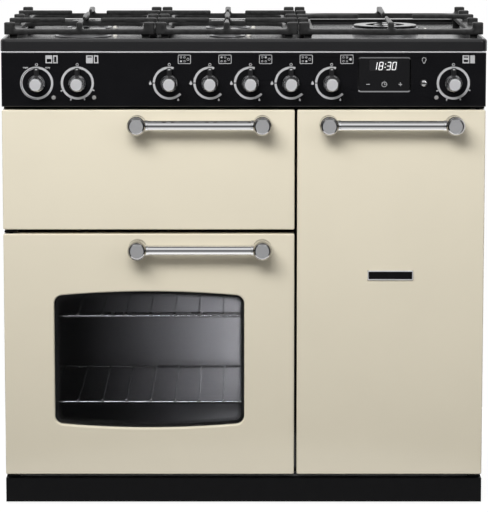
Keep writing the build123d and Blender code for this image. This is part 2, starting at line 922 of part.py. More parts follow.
def make_right_door():
    """Tall oven door, hinged at its right edge, with a plain badge plate."""
    z = (door_bottom_z, door_top_z)
    with BuildPart() as right_door_panel:
        door_shell(right_door_x, z)
        pin_holes(1, z)
    save(right_door_panel, "right_door_panel")

    with BuildPart() as right_door_liner:
        liner_shape(right_door_x, z)
        upright_hinge_blocks(1, z)
    save(right_door_liner, "right_door_liner")

    badge_z = door_bottom_z + badge_height_in_door
    with BuildPart() as badge_plate:
        block(
            (right_middle_x - badge_width / 2, right_middle_x + badge_width / 2),
            (front_y - badge_thickness, front_y),
            (badge_z - badge_height / 2, badge_z + badge_height / 2),
        )
        fillet(badge_plate.faces().sort_by(Axis.Y)[0].edges(), badge_thickness / 3)
    save(badge_plate, "badge_plate")


def grill_axis():
    """Depth and height of the grill door's hinge axis."""
    return front_y + grill_axis_inset, grill_door_bottom_z + grill_axis_inset


def cut_grill_notches():
    """Clears the hinge arms at both lower corners of the grill door."""
    for x in (
        (left_doors_x[0] - grill_notch, left_doors_x[0] + grill_notch),
        (left_doors_x[1] - grill_notch, left_doors_x[1] + grill_notch),
    ):
        block(
            x, (front_y + door_skin, shell_back_y + liner_wall),
            (grill_door_bottom_z - grill_notch, grill_door_bottom_z + grill_notch_height),
            Mode.SUBTRACT,
        )


def make_grill_door():
    """Drop-down grill door, hinged along its lower edge."""
    z = (grill_door_bottom_z, door_top_z)
    axis_y, axis_z = grill_axis()
    with BuildPart() as grill_door_panel:
        door_shell(left_doors_x, z)
        cut_grill_notches()
    save(grill_door_panel, "grill_door_panel")

    with BuildPart() as grill_door_liner:
        liner_shape(left_doors_x, z)
        cut_grill_notches()
        for edge, inward in ((left_doors_x[0], 1), (left_doors_x[1], -1)):
            near = edge + inward * grill_notch
            x = sorted((near, near + inward * hinge_block))
            block(
                x, (front_y + door_skin, shell_back_y),
                (grill_door_bottom_z + door_skin, axis_z + grill_axis_inset),
            )
            rod_x(x, axis_y, axis_z, hinge_pin_radius + hinge_clearance, Mode.SUBTRACT)
    save(grill_door_liner, "grill_door_liner")


def make_hinge_brackets():
    """Pin brackets of the two oven doors, and the side arms of the grill door."""
    y = (hinge_y() - hinge_nose, frame_front_y)
    axis_y, axis_z = grill_axis()
    with BuildPart() as hinge_brackets:
        for side, top_z in ((-1, left_door_top_z), (1, door_top_z)):
            x = hinge_x(side)
            plate_x = (x - hinge_plate_width / 2, x + hinge_plate_width / 2)
            if side < 0:
                plate_x = (max(plate_x[0], -inner_half), plate_x[1])
            else:
                plate_x = (plate_x[0], min(plate_x[1], inner_half))
            block(plate_x, y, (base_top_z, base_top_z + hinge_plate))
            rod_z(x, hinge_y(), (base_top_z, door_bottom_z + hinge_pin_length), hinge_pin_radius)
            plate_z = (top_z + hinge_plate_gap, top_z + hinge_plate_gap + hinge_plate)
            block(plate_x, y, plate_z)
            block(plate_x, (frame_front_y - hinge_plate, frame_front_y), (top_z - hinge_foot, plate_z[1]))
            rod_z(x, hinge_y(), (top_z - hinge_pin_length, plate_z[1]), hinge_pin_radius)
        for edge, inward in ((left_doors_x[0], 1), (left_doors_x[1], -1)):
            near = edge + inward * grill_arm_gap
            arm_x = sorted((near, near + inward * grill_arm_thickness))
            block(
                arm_x, (axis_y, frame_front_y),
                (axis_z - grill_arm_height / 2, axis_z + grill_arm_height / 2),
            )
            rod_x(arm_x, axis_y, axis_z, grill_arm_height / 2)
            rod_x(
                sorted((near, edge + inward * (grill_notch + hinge_pin_length))),
                axis_y, axis_z, hinge_pin_radius,
            )
    save(hinge_brackets, "door_hinge_brackets")


def make_handle(name, x, z):
    """Chromed handle: a bar held in the sides of two posts that stand on the door."""
    posts = (x - handle_spacing / 2, x + handle_spacing / 2)
    bar_y = front_y - bar_stand_off
    face_y = front_y - handle_reach
    groove_y = bar_y + bar_radius + post_groove
    with BuildPart() as handle:
        for post_x in posts:
            rod_y(post_x, (face_y, front_y), z, post_radius - post_groove)
            rod_y(post_x, (face_y, groove_y), z, post_radius)
            rod_y(post_x, (groove_y + 2 * post_groove, front_y), z, post_radius)
        chamfer(handle.edges().group_by(Axis.Y)[0], post_chamfer)
        bar_end = post_radius - bar_socket
        for post_x, inward in ((posts[0], 1), (posts[1], -1)):
            socket_x = sorted((post_x + inward * bar_end, post_x + inward * post_radius))
            rod_x(socket_x, bar_y, z, bar_radius + socket_clearance, Mode.SUBTRACT)
        rod_x((posts[0] + bar_end, posts[1] - bar_end), bar_y, z, bar_radius)
    save(handle, name)


# Control panel

def rail_z():
    """Height of the middle of the gas rail, under the taps."""
    return knob_z - tap_body_height / 2 - rail_size / 2


def all_knob_xs():
    """X of every control knob, from left to right."""
    return [grill_knob_x, oven_knob_x, *burner_knob_xs, right_oven_knob_x]


def lens_places():
    """X and Z of the indicator lenses beside the oven and grill knobs."""
    xs = (grill_knob_x + lens_offset_x, oven_knob_x + lens_offset_x, right_oven_knob_x - lens_offset_x)
    return [(x, knob_z - lens_offset_z) for x in xs]


def clock_z():
    """Height of the clock's middle."""
    return (fascia_bottom_z + fascia_top_z) / 2 + clock_lift


def draw_clock(grow):
    """Clock window outline with rounded corners, grown outwards all round."""
    with Locations((clock_x, clock_z())):
        RectangleRounded(clock_width + 2 * grow, clock_height + 2 * grow, clock_corner + grow)


def make_control_panel():
    """Control panel shell, open at the back, bored for the controls."""
    z = (fascia_bottom_z, fascia_top_z)
    with BuildPart() as control_panel:
        block((-half_body, half_body), (front_y, frame_front_y), z)
        fillet(control_panel.faces().sort_by(Axis.Y)[0].edges(), fascia_edge_radius)
        block(
            inset((-half_body, half_body), fascia_wall), (front_y + fascia_wall, frame_front_y),
            inset(z, fascia_wall), Mode.SUBTRACT,
        )
        wall_y = (front_y, front_y + fascia_wall)
        for x in all_knob_xs():
            rod_y(x, wall_y, knob_z, spindle_radius + spindle_hole_clearance, Mode.SUBTRACT)
        for x, lens_z in lens_places():
            rod_y(x, wall_y, lens_z, lens_radius, Mode.SUBTRACT)
        rod_y(button_x, wall_y, knob_z, button_radius + button_clearance, Mode.SUBTRACT)
        with BuildSketch(front_plane(front_y + fascia_wall)):
            draw_clock(0)
        extrude(amount=fascia_wall, mode=Mode.SUBTRACT)
    save(control_panel, "control_panel")


def make_clock():
    """Clock window set into the control panel, and the timer's housing behind it."""
    glass_y = (front_y + clock_recess, front_y + clock_recess + clock_glass)
    with BuildPart() as clock_window:
        with BuildSketch(front_plane(glass_y[1])):
            draw_clock(0)
        extrude(amount=clock_glass)
    save(clock_window, "clock_window")

    with BuildPart() as clock_module:
        with BuildSketch(front_plane(front_y + fascia_wall + clock_body_depth)):
            draw_clock(clock_body_margin)
        extrude(amount=clock_body_depth)
        with BuildSketch(front_plane(glass_y[1])):
            draw_clock(0)
        extrude(amount=glass_y[1] - front_y, mode=Mode.SUBTRACT)
    save(clock_module, "clock_module")


def make_indicator_lenses():
    """Indicator lamp lenses pressed into the control panel."""
    with BuildPart() as indicator_lenses:
        for x, z in lens_places():
            rod_y(x, (front_y - lens_reach, front_y + 2 * fascia_wall), z, lens_radius)
        fillet(indicator_lenses.edges().group_by(Axis.Y)[0], lens_reach * 0.8)
    save(indicator_lenses, "indicator_lenses")


def make_gas_taps():
    """Gas taps of the five burners, each with its spindle through the control panel."""
    boss_y = front_y + fascia_wall
    body_y = (boss_y + tap_boss_length, boss_y + tap_boss_length + tap_depth)
    with BuildPart() as gas_taps:
        for x in burner_knob_xs:
            block(
                (x - tap_body_width / 2, x + tap_body_width / 2), body_y,
                (knob_z - tap_body_height / 2, knob_z + tap_body_height / 2),
            )
            rod_y(x, (boss_y, body_y[0]), knob_z, tap_boss_radius)
            rod_y(x, (front_y - spindle_reach, boss_y), knob_z, spindle_radius)
    save(gas_taps, "gas_taps")


def make_oven_controls():
    """Grill and oven controls with their spindles, and the oven light's switch."""
    y0 = front_y + fascia_wall
    with BuildPart() as oven_controls:
        for x in (grill_knob_x, oven_knob_x, right_oven_knob_x):
            half = control_body / 2
            block((x - half, x + half), (y0, y0 + control_depth), (knob_z - half + lens_radius, knob_z + half))
            rod_y(x, (front_y - spindle_reach, y0), knob_z, spindle_radius)
        half = switch_size / 2
        switch_y = y0 + button_clearance + button_flange + button_stem + button_travel + switch_gap
        block(
            (button_x - half, button_x + half), (switch_y, switch_y + control_depth),
            (knob_z - half, knob_z + half),
        )
        block(
            (button_x - half, button_x + half), (y0, switch_y + control_depth),
            (knob_z + half, knob_z + half + 2 * button_flange),
        )
    save(oven_controls, "oven_controls")


def make_light_button():
    """Push button of the oven light, kept in the panel by its flange."""
    y0 = front_y + fascia_wall + button_clearance
    with BuildPart() as light_button:
        rod_y(button_x, (front_y - button_reach, y0), knob_z, button_radius)
        fillet(light_button.edges().group_by(Axis.Y)[0], button_radius / 3)
        rod_y(button_x, (y0, y0 + button_flange), knob_z, button_radius + 2 * button_clearance + 1)
        rod_y(button_x, (y0, y0 + button_flange + button_stem), knob_z, button_stem_radius)
    save(light_button, "oven_light_button")


def make_gas_rail():
    """Gas rail under the taps, and the pipe from it to the inlet in the rear panel."""
    middle_y = front_y + fascia_wall + tap_boss_length + tap_depth / 2
    z = rail_z()
    x0 = burner_knob_xs[0] - rail_overhang
    with BuildPart() as gas_rail:
        block(
            (x0, gas_inlet_x + inlet_pipe_radius),
            (middle_y - rail_size / 2, middle_y + rail_size / 2),
            (z - rail_size / 2, z + rail_size / 2),
        )
        pipe_y = (middle_y + rail_size / 2, rear_y)
        rod_y(gas_inlet_x, (pipe_y[0], pipe_y[1] - 3 * inlet_bore_depth), z, inlet_bore_radius)
        rod_y(gas_inlet_x, (pipe_y[1] - 3 * inlet_bore_depth, pipe_y[1]), z, inlet_pipe_radius)
        rod_y(gas_inlet_x, pipe_y, z, inlet_pipe_bore, Mode.SUBTRACT)
        rod_y(
            gas_inlet_x, (pipe_y[1] - inlet_bore_depth, pipe_y[1]), z,
            inlet_bore_radius, Mode.SUBTRACT,
        )
    save(gas_rail, "gas_rail")


def make_knob(name, x):
    """Control knob: a black skirt with a pointer and a chromed round grip, bored for its spindle."""
    base = Plane(origin=(x, front_y - knob_gap, knob_z), x_dir=(1, 0, 0), z_dir=(0, -1, 0))
    low = (Align.CENTER, Align.CENTER, Align.MIN)
    cap_start = knob_skirt_depth + knob_neck_depth
    with BuildPart(base) as knob:
        Cylinder(knob_skirt_radius, knob_skirt_depth, align=low)
        with Locations((0, 0, knob_skirt_depth)):
            Cone(knob_shoulder_radius, knob_neck_radius, knob_neck_depth, align=low)
        with Locations((0, 0, cap_start)):
            Cylinder(knob_cap_radius, knob_reach - knob_gap - cap_start, align=low)
        fillet(knob.edges().group_by(Axis.Y)[0], knob_cap_edge)
        with BuildSketch(base):
            Polygon(
                (-knob_pointer_root / 2, knob_cap_radius / 2),
                (knob_pointer_root / 2, knob_cap_radius / 2),
                (knob_pointer_tip / 2, knob_pointer_reach),
                (-knob_pointer_tip / 2, knob_pointer_reach),
                align=None,
            )
        extrude(amount=knob_pointer_depth)
        Cylinder(spindle_radius + spindle_clearance, spindle_reach, align=low, mode=Mode.SUBTRACT)
    save(knob, name)


# Hob

def make_hob_tray():
    """Pressed hob with a rolled rim, a sunken surface, burner holes and rear flue slots."""
    half = hob_width / 2
    recess_x = (-half + hob_rim, half - hob_rim)
    recess_y = (hob_front_y + hob_rim, rear_y - hob_rear_strip)
    with BuildPart() as hob_tray:
        block((-half, half), (hob_front_y, rear_y), (hob_bottom_z, hob_top_z))
        fillet(hob_tray.edges().filter_by(Axis.Z), hob_corner)
        fillet(hob_tray.faces().sort_by(Axis.Z)[-1].edges(), hob_edge_radius)
        with BuildSketch(Plane.XY.offset(hob_surface_z)):
            with Locations((sum(recess_x) / 2, sum(recess_y) / 2)):
                RectangleRounded(
                    recess_x[1] - recess_x[0], recess_y[1] - recess_y[0], hob_recess_corner
                )
        extrude(amount=hob_recess, mode=Mode.SUBTRACT)
        floor = hob_tray.faces().filter_by(Axis.Z).group_by(Axis.Z)[1]
        fillet(floor.edges(), hob_recess_radius)
        under_x, under_y = inset((-half, half), 2 * hob_wall), inset((hob_front_y, rear_y), 2 * hob_wall)
        block(under_x, under_y, (hob_bottom_z, hob_surface_z - hob_wall), Mode.SUBTRACT)
        block(
            under_x, (recess_y[1] + hob_wall, under_y[1]), (hob_bottom_z, hob_top_z - hob_wall),
            Mode.SUBTRACT,
        )
        for x, y, radius in [*plain_burners, wok_burner]:
            hole = radius - burner_cup_inset + burner_hole_clearance
            rod_z(x, y, (hob_bottom_z, hob_top_z), hole, Mode.SUBTRACT)
            rod_z(
                *electrode_place(x, y, radius), (hob_bottom_z, hob_top_z),
                electrode_radius + burner_hole_clearance, Mode.SUBTRACT,
            )
        with BuildSketch(Plane.XY.offset(hob_top_z - hob_wall)):
            with Locations((0, rear_y - hob_rear_strip / 2)):
                with GridLocations((hob_width - 4 * hob_rim) / vent_slots, 1, vent_slots, 1):
                    SlotOverall(vent_slot_length, vent_slot_width)
        extrude(amount=hob_wall, mode=Mode.SUBTRACT)
    save(hob_tray, "hob_tray")


def electrode_place(x, y, radius):
    """X and Y of a burner's spark electrode, at the right of the burner."""
    return x + radius + burner_flange + electrode_gap, y


def make_burner_bases():
    """Burner cups hung in the hob by their flanges."""
    with BuildPart() as burner_bases:
        for x, y, radius in [*plain_burners, wok_burner]:
            flange_z = (hob_surface_z, hob_surface_z + burner_flange_height)
            cup_z = (hob_surface_z - burner_cup_depth, hob_surface_z)
            rod_z(x, y, flange_z, radius + burner_flange)
            rod_z(x, y, cup_z, radius - burner_cup_inset)
            rod_z(
                x, y, (cup_z[0] + hob_wall, flange_z[1]), radius - burner_cup_inset - hob_wall,
                Mode.SUBTRACT,
            )
            rod_z(x, y, cup_z, burner_throat_radius, Mode.SUBTRACT)
    save(burner_bases, "burner_bases")


def make_burner_heads():
    """Burner crowns with a row of gas ports round the side. The wok's has an inner crown too."""
    z = (
        hob_surface_z + burner_flange_height,
        hob_surface_z + burner_flange_height + burner_crown_height,
    )
    with BuildPart() as burner_heads:
        for x, y, radius in [*plain_burners, wok_burner]:
            rod_z(x, y, z, radius)
            rod_z(x, y, z, radius - burner_cup_inset, Mode.SUBTRACT)
            with BuildSketch(Plane.XY.offset(z[0] + burner_crown_height / 2)):
                with Locations((x, y)):
                    with PolarLocations(radius - burner_cup_inset / 2, burner_ports):
                        Rectangle(2 * burner_cup_inset, 2 * burner_port_radius)
            extrude(amount=burner_crown_height / 4, mode=Mode.SUBTRACT)
        x, y, radius = wok_burner
        rod_z(x, y, z, wok_inner_radius)
        rod_z(x, y, z, wok_inner_radius - burner_cup_inset, Mode.SUBTRACT)
        block(
            (x - radius + burner_cup_inset / 2, x - wok_inner_radius + burner_cup_inset / 2),
            (y - burner_cup_inset / 2, y + burner_cup_inset / 2), (z[0], z[0] + burner_crown_height / 3),
        )
        block(
            (x + wok_inner_radius - burner_cup_inset / 2, x + radius - burner_cup_inset / 2),
            (y - burner_cup_inset / 2, y + burner_cup_inset / 2), (z[0], z[0] + burner_crown_height / 3),
        )
    save(burner_heads, "burner_heads")


def make_burner_caps():
    """Enamelled burner caps: one on each plain burner, a ring and a disc on the wok burner."""
    z0 = hob_surface_z + burner_flange_height + burner_crown_height
    z = (z0, z0 + burner_cap_height)
    with BuildPart() as burner_caps:
        for x, y, radius in plain_burners:
            rod_z(x, y, z, radius - burner_cap_inset)
        x, y, radius = wok_burner
        rod_z(x, y, z, radius - burner_cap_inset)
        rod_z(x, y, z, radius - burner_cap_inset - wok_ring_width, Mode.SUBTRACT)
        rod_z(x, y, z, wok_inner_radius - burner_cap_inset / 2)
        fillet(burner_caps.edges().group_by(Axis.Z)[-1], burner_cap_height / 3)
    save(burner_caps, "burner_caps")


def make_spark_electrodes():
    """Ceramic spark electrode beside each burner, with a collar on the hob."""
    top_z = hob_surface_z + burner_flange_height + burner_crown_height - electrode_top_drop
    with BuildPart() as spark_electrodes:
        for burner in [*plain_burners, wok_burner]:
            x, y = electrode_place(*burner)
            rod_z(x, y, (top_z - electrode_length, top_z), electrode_radius)
            rod_z(x, y, (hob_surface_z, hob_surface_z + burner_flange_height), electrode_collar)
    save(spark_electrodes, "spark_electrodes")


# Pan supports

def draw_finger(root, tip):
    """Plan of a finger that tapers from its root to its tip."""
    along = (Vector(*tip) - Vector(*root)).normalized()
    across = along.rotate(Axis.Z, 90)
    points = []
    for end, width in ((root, finger_root), (tip, finger_tip)):
        sides = (1, -1) if end is root else (-1, 1)
        points += [Vector(*end) + across * (side * width / 2) for side in sides]
    Polygon(*[(p.X, p.Y) for p in points], align=None)


def support_openings(x, burners):
    """Spans of the openings in a pan support, one for each burner."""
    inner_x = inset(x, support_side_band)
    if len(burners) == 1:
        return [(inner_x, inset((support_front_y, support_back_y), support_cross_bar))]
    middle = (burners[0] + burners[1]) / 2
    front = (support_front_y + support_cross_bar, middle - support_cross_bar / 2)
    back = (middle + support_cross_bar / 2, support_back_y - support_cross_bar)
    return [(inner_x, front), (inner_x, back)]


def draw_fingers(x, openings, burners, gap):
    """Plans of all fingers of a pan support, four to a burner."""
    middle = sum(x) / 2
    for (opening_x, opening_y), burner_y in zip(openings, burners):
        draw_finger((opening_x[0] - support_side_band / 2, burner_y), (middle - gap, burner_y))
        draw_finger((opening_x[1] + support_side_band / 2, burner_y), (middle + gap, burner_y))
        draw_finger((middle, opening_y[0] - support_cross_bar / 2), (middle, burner_y - gap))
        draw_finger((middle, opening_y[1] + support_cross_bar / 2), (middle, burner_y + gap))


def finger_feet(x, openings):
    """Middles of the feet that carry the fingers on the front, middle and rear bars."""
    edges = [opening_y[0] - support_cross_bar / 2 for opening_x, opening_y in openings]
    edges.append(openings[-1][1][1] + support_cross_bar / 2)
    return [(sum(x) / 2, y) for y in edges]


def nub_places(x, burners):
    """Middles of the raised nubs along both sides of a pan support."""
    ys = [
        support_front_y + nub_depth / 2, front_burner_y, sum(burners) / len(burners),
        rear_burner_y, support_back_y - nub_depth / 2,
    ]
    return [(side_x, y) for side_x in inset(x, nub_length / 2) for y in ys]


def make_pan_support(name, x, burners, gap):
    """Cast pan support: a low frame, raised nubs along its sides, fingers and feet."""
    openings = support_openings(x, burners)
    with BuildPart() as support:
        with BuildSketch(Plane.XY.offset(support_bottom_z)):
            with Locations((sum(x) / 2, (support_front_y + support_back_y) / 2)):
                RectangleRounded(x[1] - x[0], pan_support_depth, support_corner)
            for opening_x, opening_y in openings:
                with Locations((sum(opening_x) / 2, sum(opening_y) / 2)):
                    RectangleRounded(
                        opening_x[1] - opening_x[0], opening_y[1] - opening_y[0],
                        support_opening_corner, mode=Mode.SUBTRACT,
                    )
        extrude(amount=support_bar_height)
        with BuildSketch(Plane.XY.offset(support_top_z - finger_depth)):
            draw_fingers(x, openings, burners, gap)
        extrude(amount=finger_depth)
        with BuildSketch(Plane.XY.offset(support_bottom_z)):
            with Locations(*nub_places(x, burners)):
                RectangleRounded(nub_length, nub_depth, nub_radius)
            with Locations(*finger_feet(x, openings)):
                RectangleRounded(finger_foot, support_cross_bar, nub_radius)
        extrude(amount=support_top_z - support_bottom_z)
        leg_x = inset(x, leg_inset + leg_size / 2)
        leg_y = inset((support_front_y, support_back_y), leg_inset + leg_size / 2)
        with BuildSketch(Plane.XY.offset(hob_surface_z)):
            with Locations(*[(px, py) for px in leg_x for py in leg_y]):
                RectangleRounded(leg_size, leg_size, nub_radius)
        extrude(amount=support_bottom_z - hob_surface_z)
    save(support, name)


# Supply

def make_terminal_box():
    """Mains terminal box inside the back cover, with the gland that the cable comes in by."""
    back = rear_y - panel_thickness
    with BuildPart() as terminal_box:
        block(
            (terminal_x - terminal_width / 2, terminal_x + terminal_width / 2),
            (back - terminal_depth, back),
            (terminal_height - terminal_box_height / 2, terminal_height + terminal_box_height / 2),
        )
        rod_y(terminal_x, (back, rear_y), terminal_height, gland_radius)
        rod_y(terminal_x, (rear_y - gland_length, rear_y), terminal_height, gland_bore, Mode.SUBTRACT)
    save(terminal_box, "terminal_box")


def main():
    os.makedirs("parts", exist_ok=True)
    make_base_frame()
    make_levelling_feet()
    make_rear_rollers()
    make_front_frame()
    make_side_panel("left_side_panel", -1)
    make_side_panel("right_side_panel", 1)
    make_rear_panel()
    make_plinth()

    make_cavity("left_oven_cavity", left_oven_x, left_oven_z, fan_z=fan_z(left_oven_z))
    make_cavity("right_oven_cavity", right_oven_x, right_oven_z, fan_z=fan_z(right_oven_z))
    make_cavity("grill_cavity", grill_x, grill_z, ledge_z=grill_floor_z + grill_ledge_lift)
    make_shelf_supports()
    make_shelves("left_oven_shelves", left_oven_x, oven_floor_z, left_shelf_levels)
    make_shelves("right_oven_shelves", right_oven_x, oven_floor_z, right_shelf_levels)
    make_fan_covers()
    make_fan("left_oven_fan", left_oven_x, left_oven_z)
    make_fan("right_oven_fan", right_oven_x, right_oven_z)
    make_fan_motors()
    make_heating_elements()
    make_grill_pan()
    make_grill_trivet()
    make_oven_seals()

    make_left_door()
    make_right_door()
    make_grill_door()
    make_hinge_brackets()
    left_handle_x = left_doors_x[1] - left_handle_inset - handle_spacing / 2
    make_handle("grill_door_handle", left_handle_x, door_top_z - handle_drop)
    make_handle("left_door_handle", left_handle_x, left_door_top_z - handle_drop)
    make_handle("right_door_handle", right_middle_x, door_top_z - handle_drop)

    make_control_panel()
    make_clock()
    make_indicator_lenses()
    make_gas_taps()
    make_oven_controls()
    make_light_button()
    make_gas_rail()
    make_knob("grill_knob", grill_knob_x)
    make_knob("left_oven_knob", oven_knob_x)
    for i, x in enumerate(burner_knob_xs):
        make_knob(f"burner_knob_{i + 1}", x)
    make_knob("right_oven_knob", right_oven_knob_x)

    make_hob_tray()
    make_burner_bases()
    make_burner_heads()
    make_burner_caps()
    make_spark_electrodes()
    two_burners = (front_burner_y, rear_burner_y)
    make_pan_support("pan_support_left", left_support_x, two_burners, finger_burner_gap)
    make_pan_support("pan_support_centre", centre_support_x, two_burners, finger_burner_gap)
    make_pan_support("pan_support_right", right_support_x, (wok_burner_y,), wok_finger_gap)
    make_terminal_box()


main()
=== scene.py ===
"""Studio scene of a range cooker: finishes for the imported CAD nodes, and modelled detail over them."""

from math import atan2, cos, pi, radians, sin

import bmesh
import bpy
from mathutils import Matrix, Vector


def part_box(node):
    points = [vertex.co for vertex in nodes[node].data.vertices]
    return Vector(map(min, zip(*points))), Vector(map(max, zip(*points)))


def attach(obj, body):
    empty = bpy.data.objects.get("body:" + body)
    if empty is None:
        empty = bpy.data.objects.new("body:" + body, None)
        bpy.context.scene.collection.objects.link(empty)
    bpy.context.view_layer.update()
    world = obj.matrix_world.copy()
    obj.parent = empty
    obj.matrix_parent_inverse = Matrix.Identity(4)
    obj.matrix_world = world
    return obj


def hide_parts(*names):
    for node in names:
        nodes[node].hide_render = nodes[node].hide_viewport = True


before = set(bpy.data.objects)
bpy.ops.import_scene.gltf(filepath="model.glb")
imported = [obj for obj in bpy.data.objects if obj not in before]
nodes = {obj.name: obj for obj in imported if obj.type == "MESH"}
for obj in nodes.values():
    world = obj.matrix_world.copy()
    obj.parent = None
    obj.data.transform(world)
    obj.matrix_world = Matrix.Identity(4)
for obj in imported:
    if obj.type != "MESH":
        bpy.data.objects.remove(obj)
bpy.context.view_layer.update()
MM = 0.001

# Angle between two faces, in degrees, from which their edge counts as sharp
SHARP_ANGLE = 35

# Planes and places of the CAD model, in metres
PANEL_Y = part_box("control_panel")[0].y
DOOR_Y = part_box("right_door_panel")[0].y
KNOB_Z = 0.796
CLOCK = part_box("clock_window")
BURNER_KNOBS = [f"burner_knob_{i}" for i in range(1, 6)]
OVEN_KNOBS = ["left_oven_knob", "right_oven_knob"]
KNOBS = ["grill_knob", *OVEN_KNOBS, *BURNER_KNOBS]
PRINT_LIFT = 0.15 * MM


def middle(node):
    """Middle of a node's box."""
    low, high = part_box(node)
    return (low + high) / 2


# Materials

def shader(name, color, roughness, metallic=0.0, **sockets):
    """New material with a plain Principled shader. Returns the material, its node tree and the shader."""
    material = bpy.data.materials.new(name)
    material.use_nodes = True
    tree = material.node_tree
    principled = tree.nodes["Principled BSDF"]
    principled.inputs["Base Color"].default_value = (*color, 1)
    principled.inputs["Roughness"].default_value = roughness
    principled.inputs["Metallic"].default_value = metallic
    for socket, value in sockets.items():
        principled.inputs[socket.replace("_", " ")].default_value = value
    return material, tree, principled


def noise(tree, scale, detail=4.0, stretch=(1, 1, 1)):
    """Noise over the object's own coordinates, in features per metre."""
    coords = tree.nodes.new("ShaderNodeTexCoord")
    mapping = tree.nodes.new("ShaderNodeMapping")
    mapping.inputs["Scale"].default_value = stretch
    texture = tree.nodes.new("ShaderNodeTexNoise")
    texture.inputs["Scale"].default_value = scale
    texture.inputs["Detail"].default_value = detail
    tree.links.new(coords.outputs["Object"], mapping.inputs["Vector"])
    tree.links.new(mapping.outputs["Vector"], texture.inputs["Vector"])
    return texture.outputs["Fac"]


def ramp(tree, factor, stops):
    """Colour ramp over a factor. Each stop is a position and a colour or a grey value."""
    node = tree.nodes.new("ShaderNodeValToRGB")
    elements = node.color_ramp.elements
    while len(elements) < len(stops):
        elements.new(0.5)
    for element, (position, value) in zip(elements, stops):
        element.position = position
        element.color = (*value, 1) if isinstance(value, tuple) else (value, value, value, 1)
    tree.links.new(factor, node.inputs["Fac"])
    return node.outputs["Color"]


def bump(tree, principled, height, depth):
    """Bumps the shader by a height texture. The depth is in metres."""
    node = tree.nodes.new("ShaderNodeBump")
    node.inputs["Strength"].default_value = 1
    node.inputs["Distance"].default_value = depth
    tree.links.new(height, node.inputs["Height"])
    tree.links.new(node.outputs["Normal"], principled.inputs["Normal"])


def enamel(name, color, roughness, ripple=0.02 * MM):
    """Fired enamel: a glossy coat with a faint orange-peel ripple and slight colour drift."""
    material, tree, principled = shader(name, color, roughness)
    dark = tuple(0.985 * c for c in color)
    drift = ramp(tree, noise(tree, 9, 2), [(0.35, dark), (0.65, color)])
    tree.links.new(drift, principled.inputs["Base Color"])
    gloss = ramp(tree, noise(tree, 35, 3), [(0.3, 0.85 * roughness), (0.7, 1.2 * roughness)])
    tree.links.new(gloss, principled.inputs["Roughness"])
    bump(tree, principled, noise(tree, 160, 2), ripple)
    return material


def flecked_enamel(name, color, fleck, roughness):
    """Dark oven enamel with fine pale flecks."""
    material, tree, principled = shader(name, color, roughness)
    flecks = ramp(tree, noise(tree, 900, 2), [(0.66, color), (0.72, fleck)])
    tree.links.new(flecks, principled.inputs["Base Color"])
    bump(tree, principled, noise(tree, 160, 2), 0.02 * MM)
    return material


def powder_coat(name, color):
    """Matt powder coat with a fine pebbled skin."""
    material, tree, principled = shader(name, color, 0.5, Specular_IOR_Level=0.08)
    gloss = ramp(tree, noise(tree, 50, 3), [(0.3, 0.42), (0.7, 0.55)])
    tree.links.new(gloss, principled.inputs["Roughness"])
    bump(tree, principled, noise(tree, 900, 2), 0.06 * MM)
    return material


def cast_iron(name):
    """Matt enamelled casting with a fine sand grain."""
    material, tree, principled = shader(name, (0.022, 0.022, 0.023), 0.36)
    tone = ramp(tree, noise(tree, 120, 6), [(0.3, 0.013), (0.7, 0.03)])
    tree.links.new(tone, principled.inputs["Base Color"])
    gloss = ramp(tree, noise(tree, 60, 4), [(0.3, 0.3), (0.7, 0.42)])
    tree.links.new(gloss, principled.inputs["Roughness"])
    bump(tree, principled, noise(tree, 1300, 3), 0.04 * MM)
    return material


def bright_metal(name, color, roughness, scuff=0.04):
    """Polished plate with very slight smears in the gloss."""
    material, tree, principled = shader(name, color, roughness, 1.0)
    gloss = ramp(tree, noise(tree, 45, 5), [(0.35, roughness), (0.75, roughness + scuff)])
    tree.links.new(gloss, principled.inputs["Roughness"])
    return material


def brushed_metal(name, color, roughness, stretch, metallic=1.0):
    """Metal brushed along one axis: the grain is short across it and long along it."""
    material, tree, principled = shader(name, color, roughness, metallic)
    grain = noise(tree, 300, 3, stretch)
    gloss = ramp(tree, grain, [(0.3, 0.8 * roughness), (0.7, 1.25 * roughness)])
    tree.links.new(gloss, principled.inputs["Roughness"])
    bump(tree, principled, grain, 0.015 * MM)
    return material


def galvanised(name):
    """Zinc-coated sheet with a crystal spangle."""
    material, tree, principled = shader(name, (0.5, 0.51, 0.53), 0.42, 0.7)
    coords = tree.nodes.new("ShaderNodeTexCoord")
    cells = tree.nodes.new("ShaderNodeTexVoronoi")
    cells.inputs["Scale"].default_value = 150
    tree.links.new(coords.outputs["Object"], cells.inputs["Vector"])
    to_grey = tree.nodes.new("ShaderNodeRGBToBW")
    tree.links.new(cells.outputs["Color"], to_grey.inputs["Color"])
    tone = ramp(tree, to_grey.outputs["Val"], [(0.2, (0.4, 0.41, 0.425)), (0.8, (0.47, 0.48, 0.495))])
    tree.links.new(tone, principled.inputs["Base Color"])
    gloss = ramp(tree, to_grey.outputs["Val"], [(0.2, 0.36), (0.8, 0.46)])
    tree.links.new(gloss, principled.inputs["Roughness"])
    return material


def moulded_plastic(name, color, roughness):
    """Moulded plastic with a fine spark-eroded grain."""
    material, tree, principled = shader(name, color, roughness)
    gloss = ramp(tree, noise(tree, 80, 3), [(0.3, 0.9 * roughness), (0.7, 1.15 * roughness)])
    tree.links.new(gloss, principled.inputs["Roughness"])
    bump(tree, principled, noise(tree, 2500, 2), 0.02 * MM)
    return material


def ink(name, color):
    """Screen-printed ink, a little uneven."""
    material, tree, principled = shader(name, color, 0.55)
    dark = tuple(0.86 * c for c in color)
    tone = ramp(tree, noise(tree, 700, 3), [(0.35, dark), (0.65, color)])
    tree.links.new(tone, principled.inputs["Base Color"])
    return material


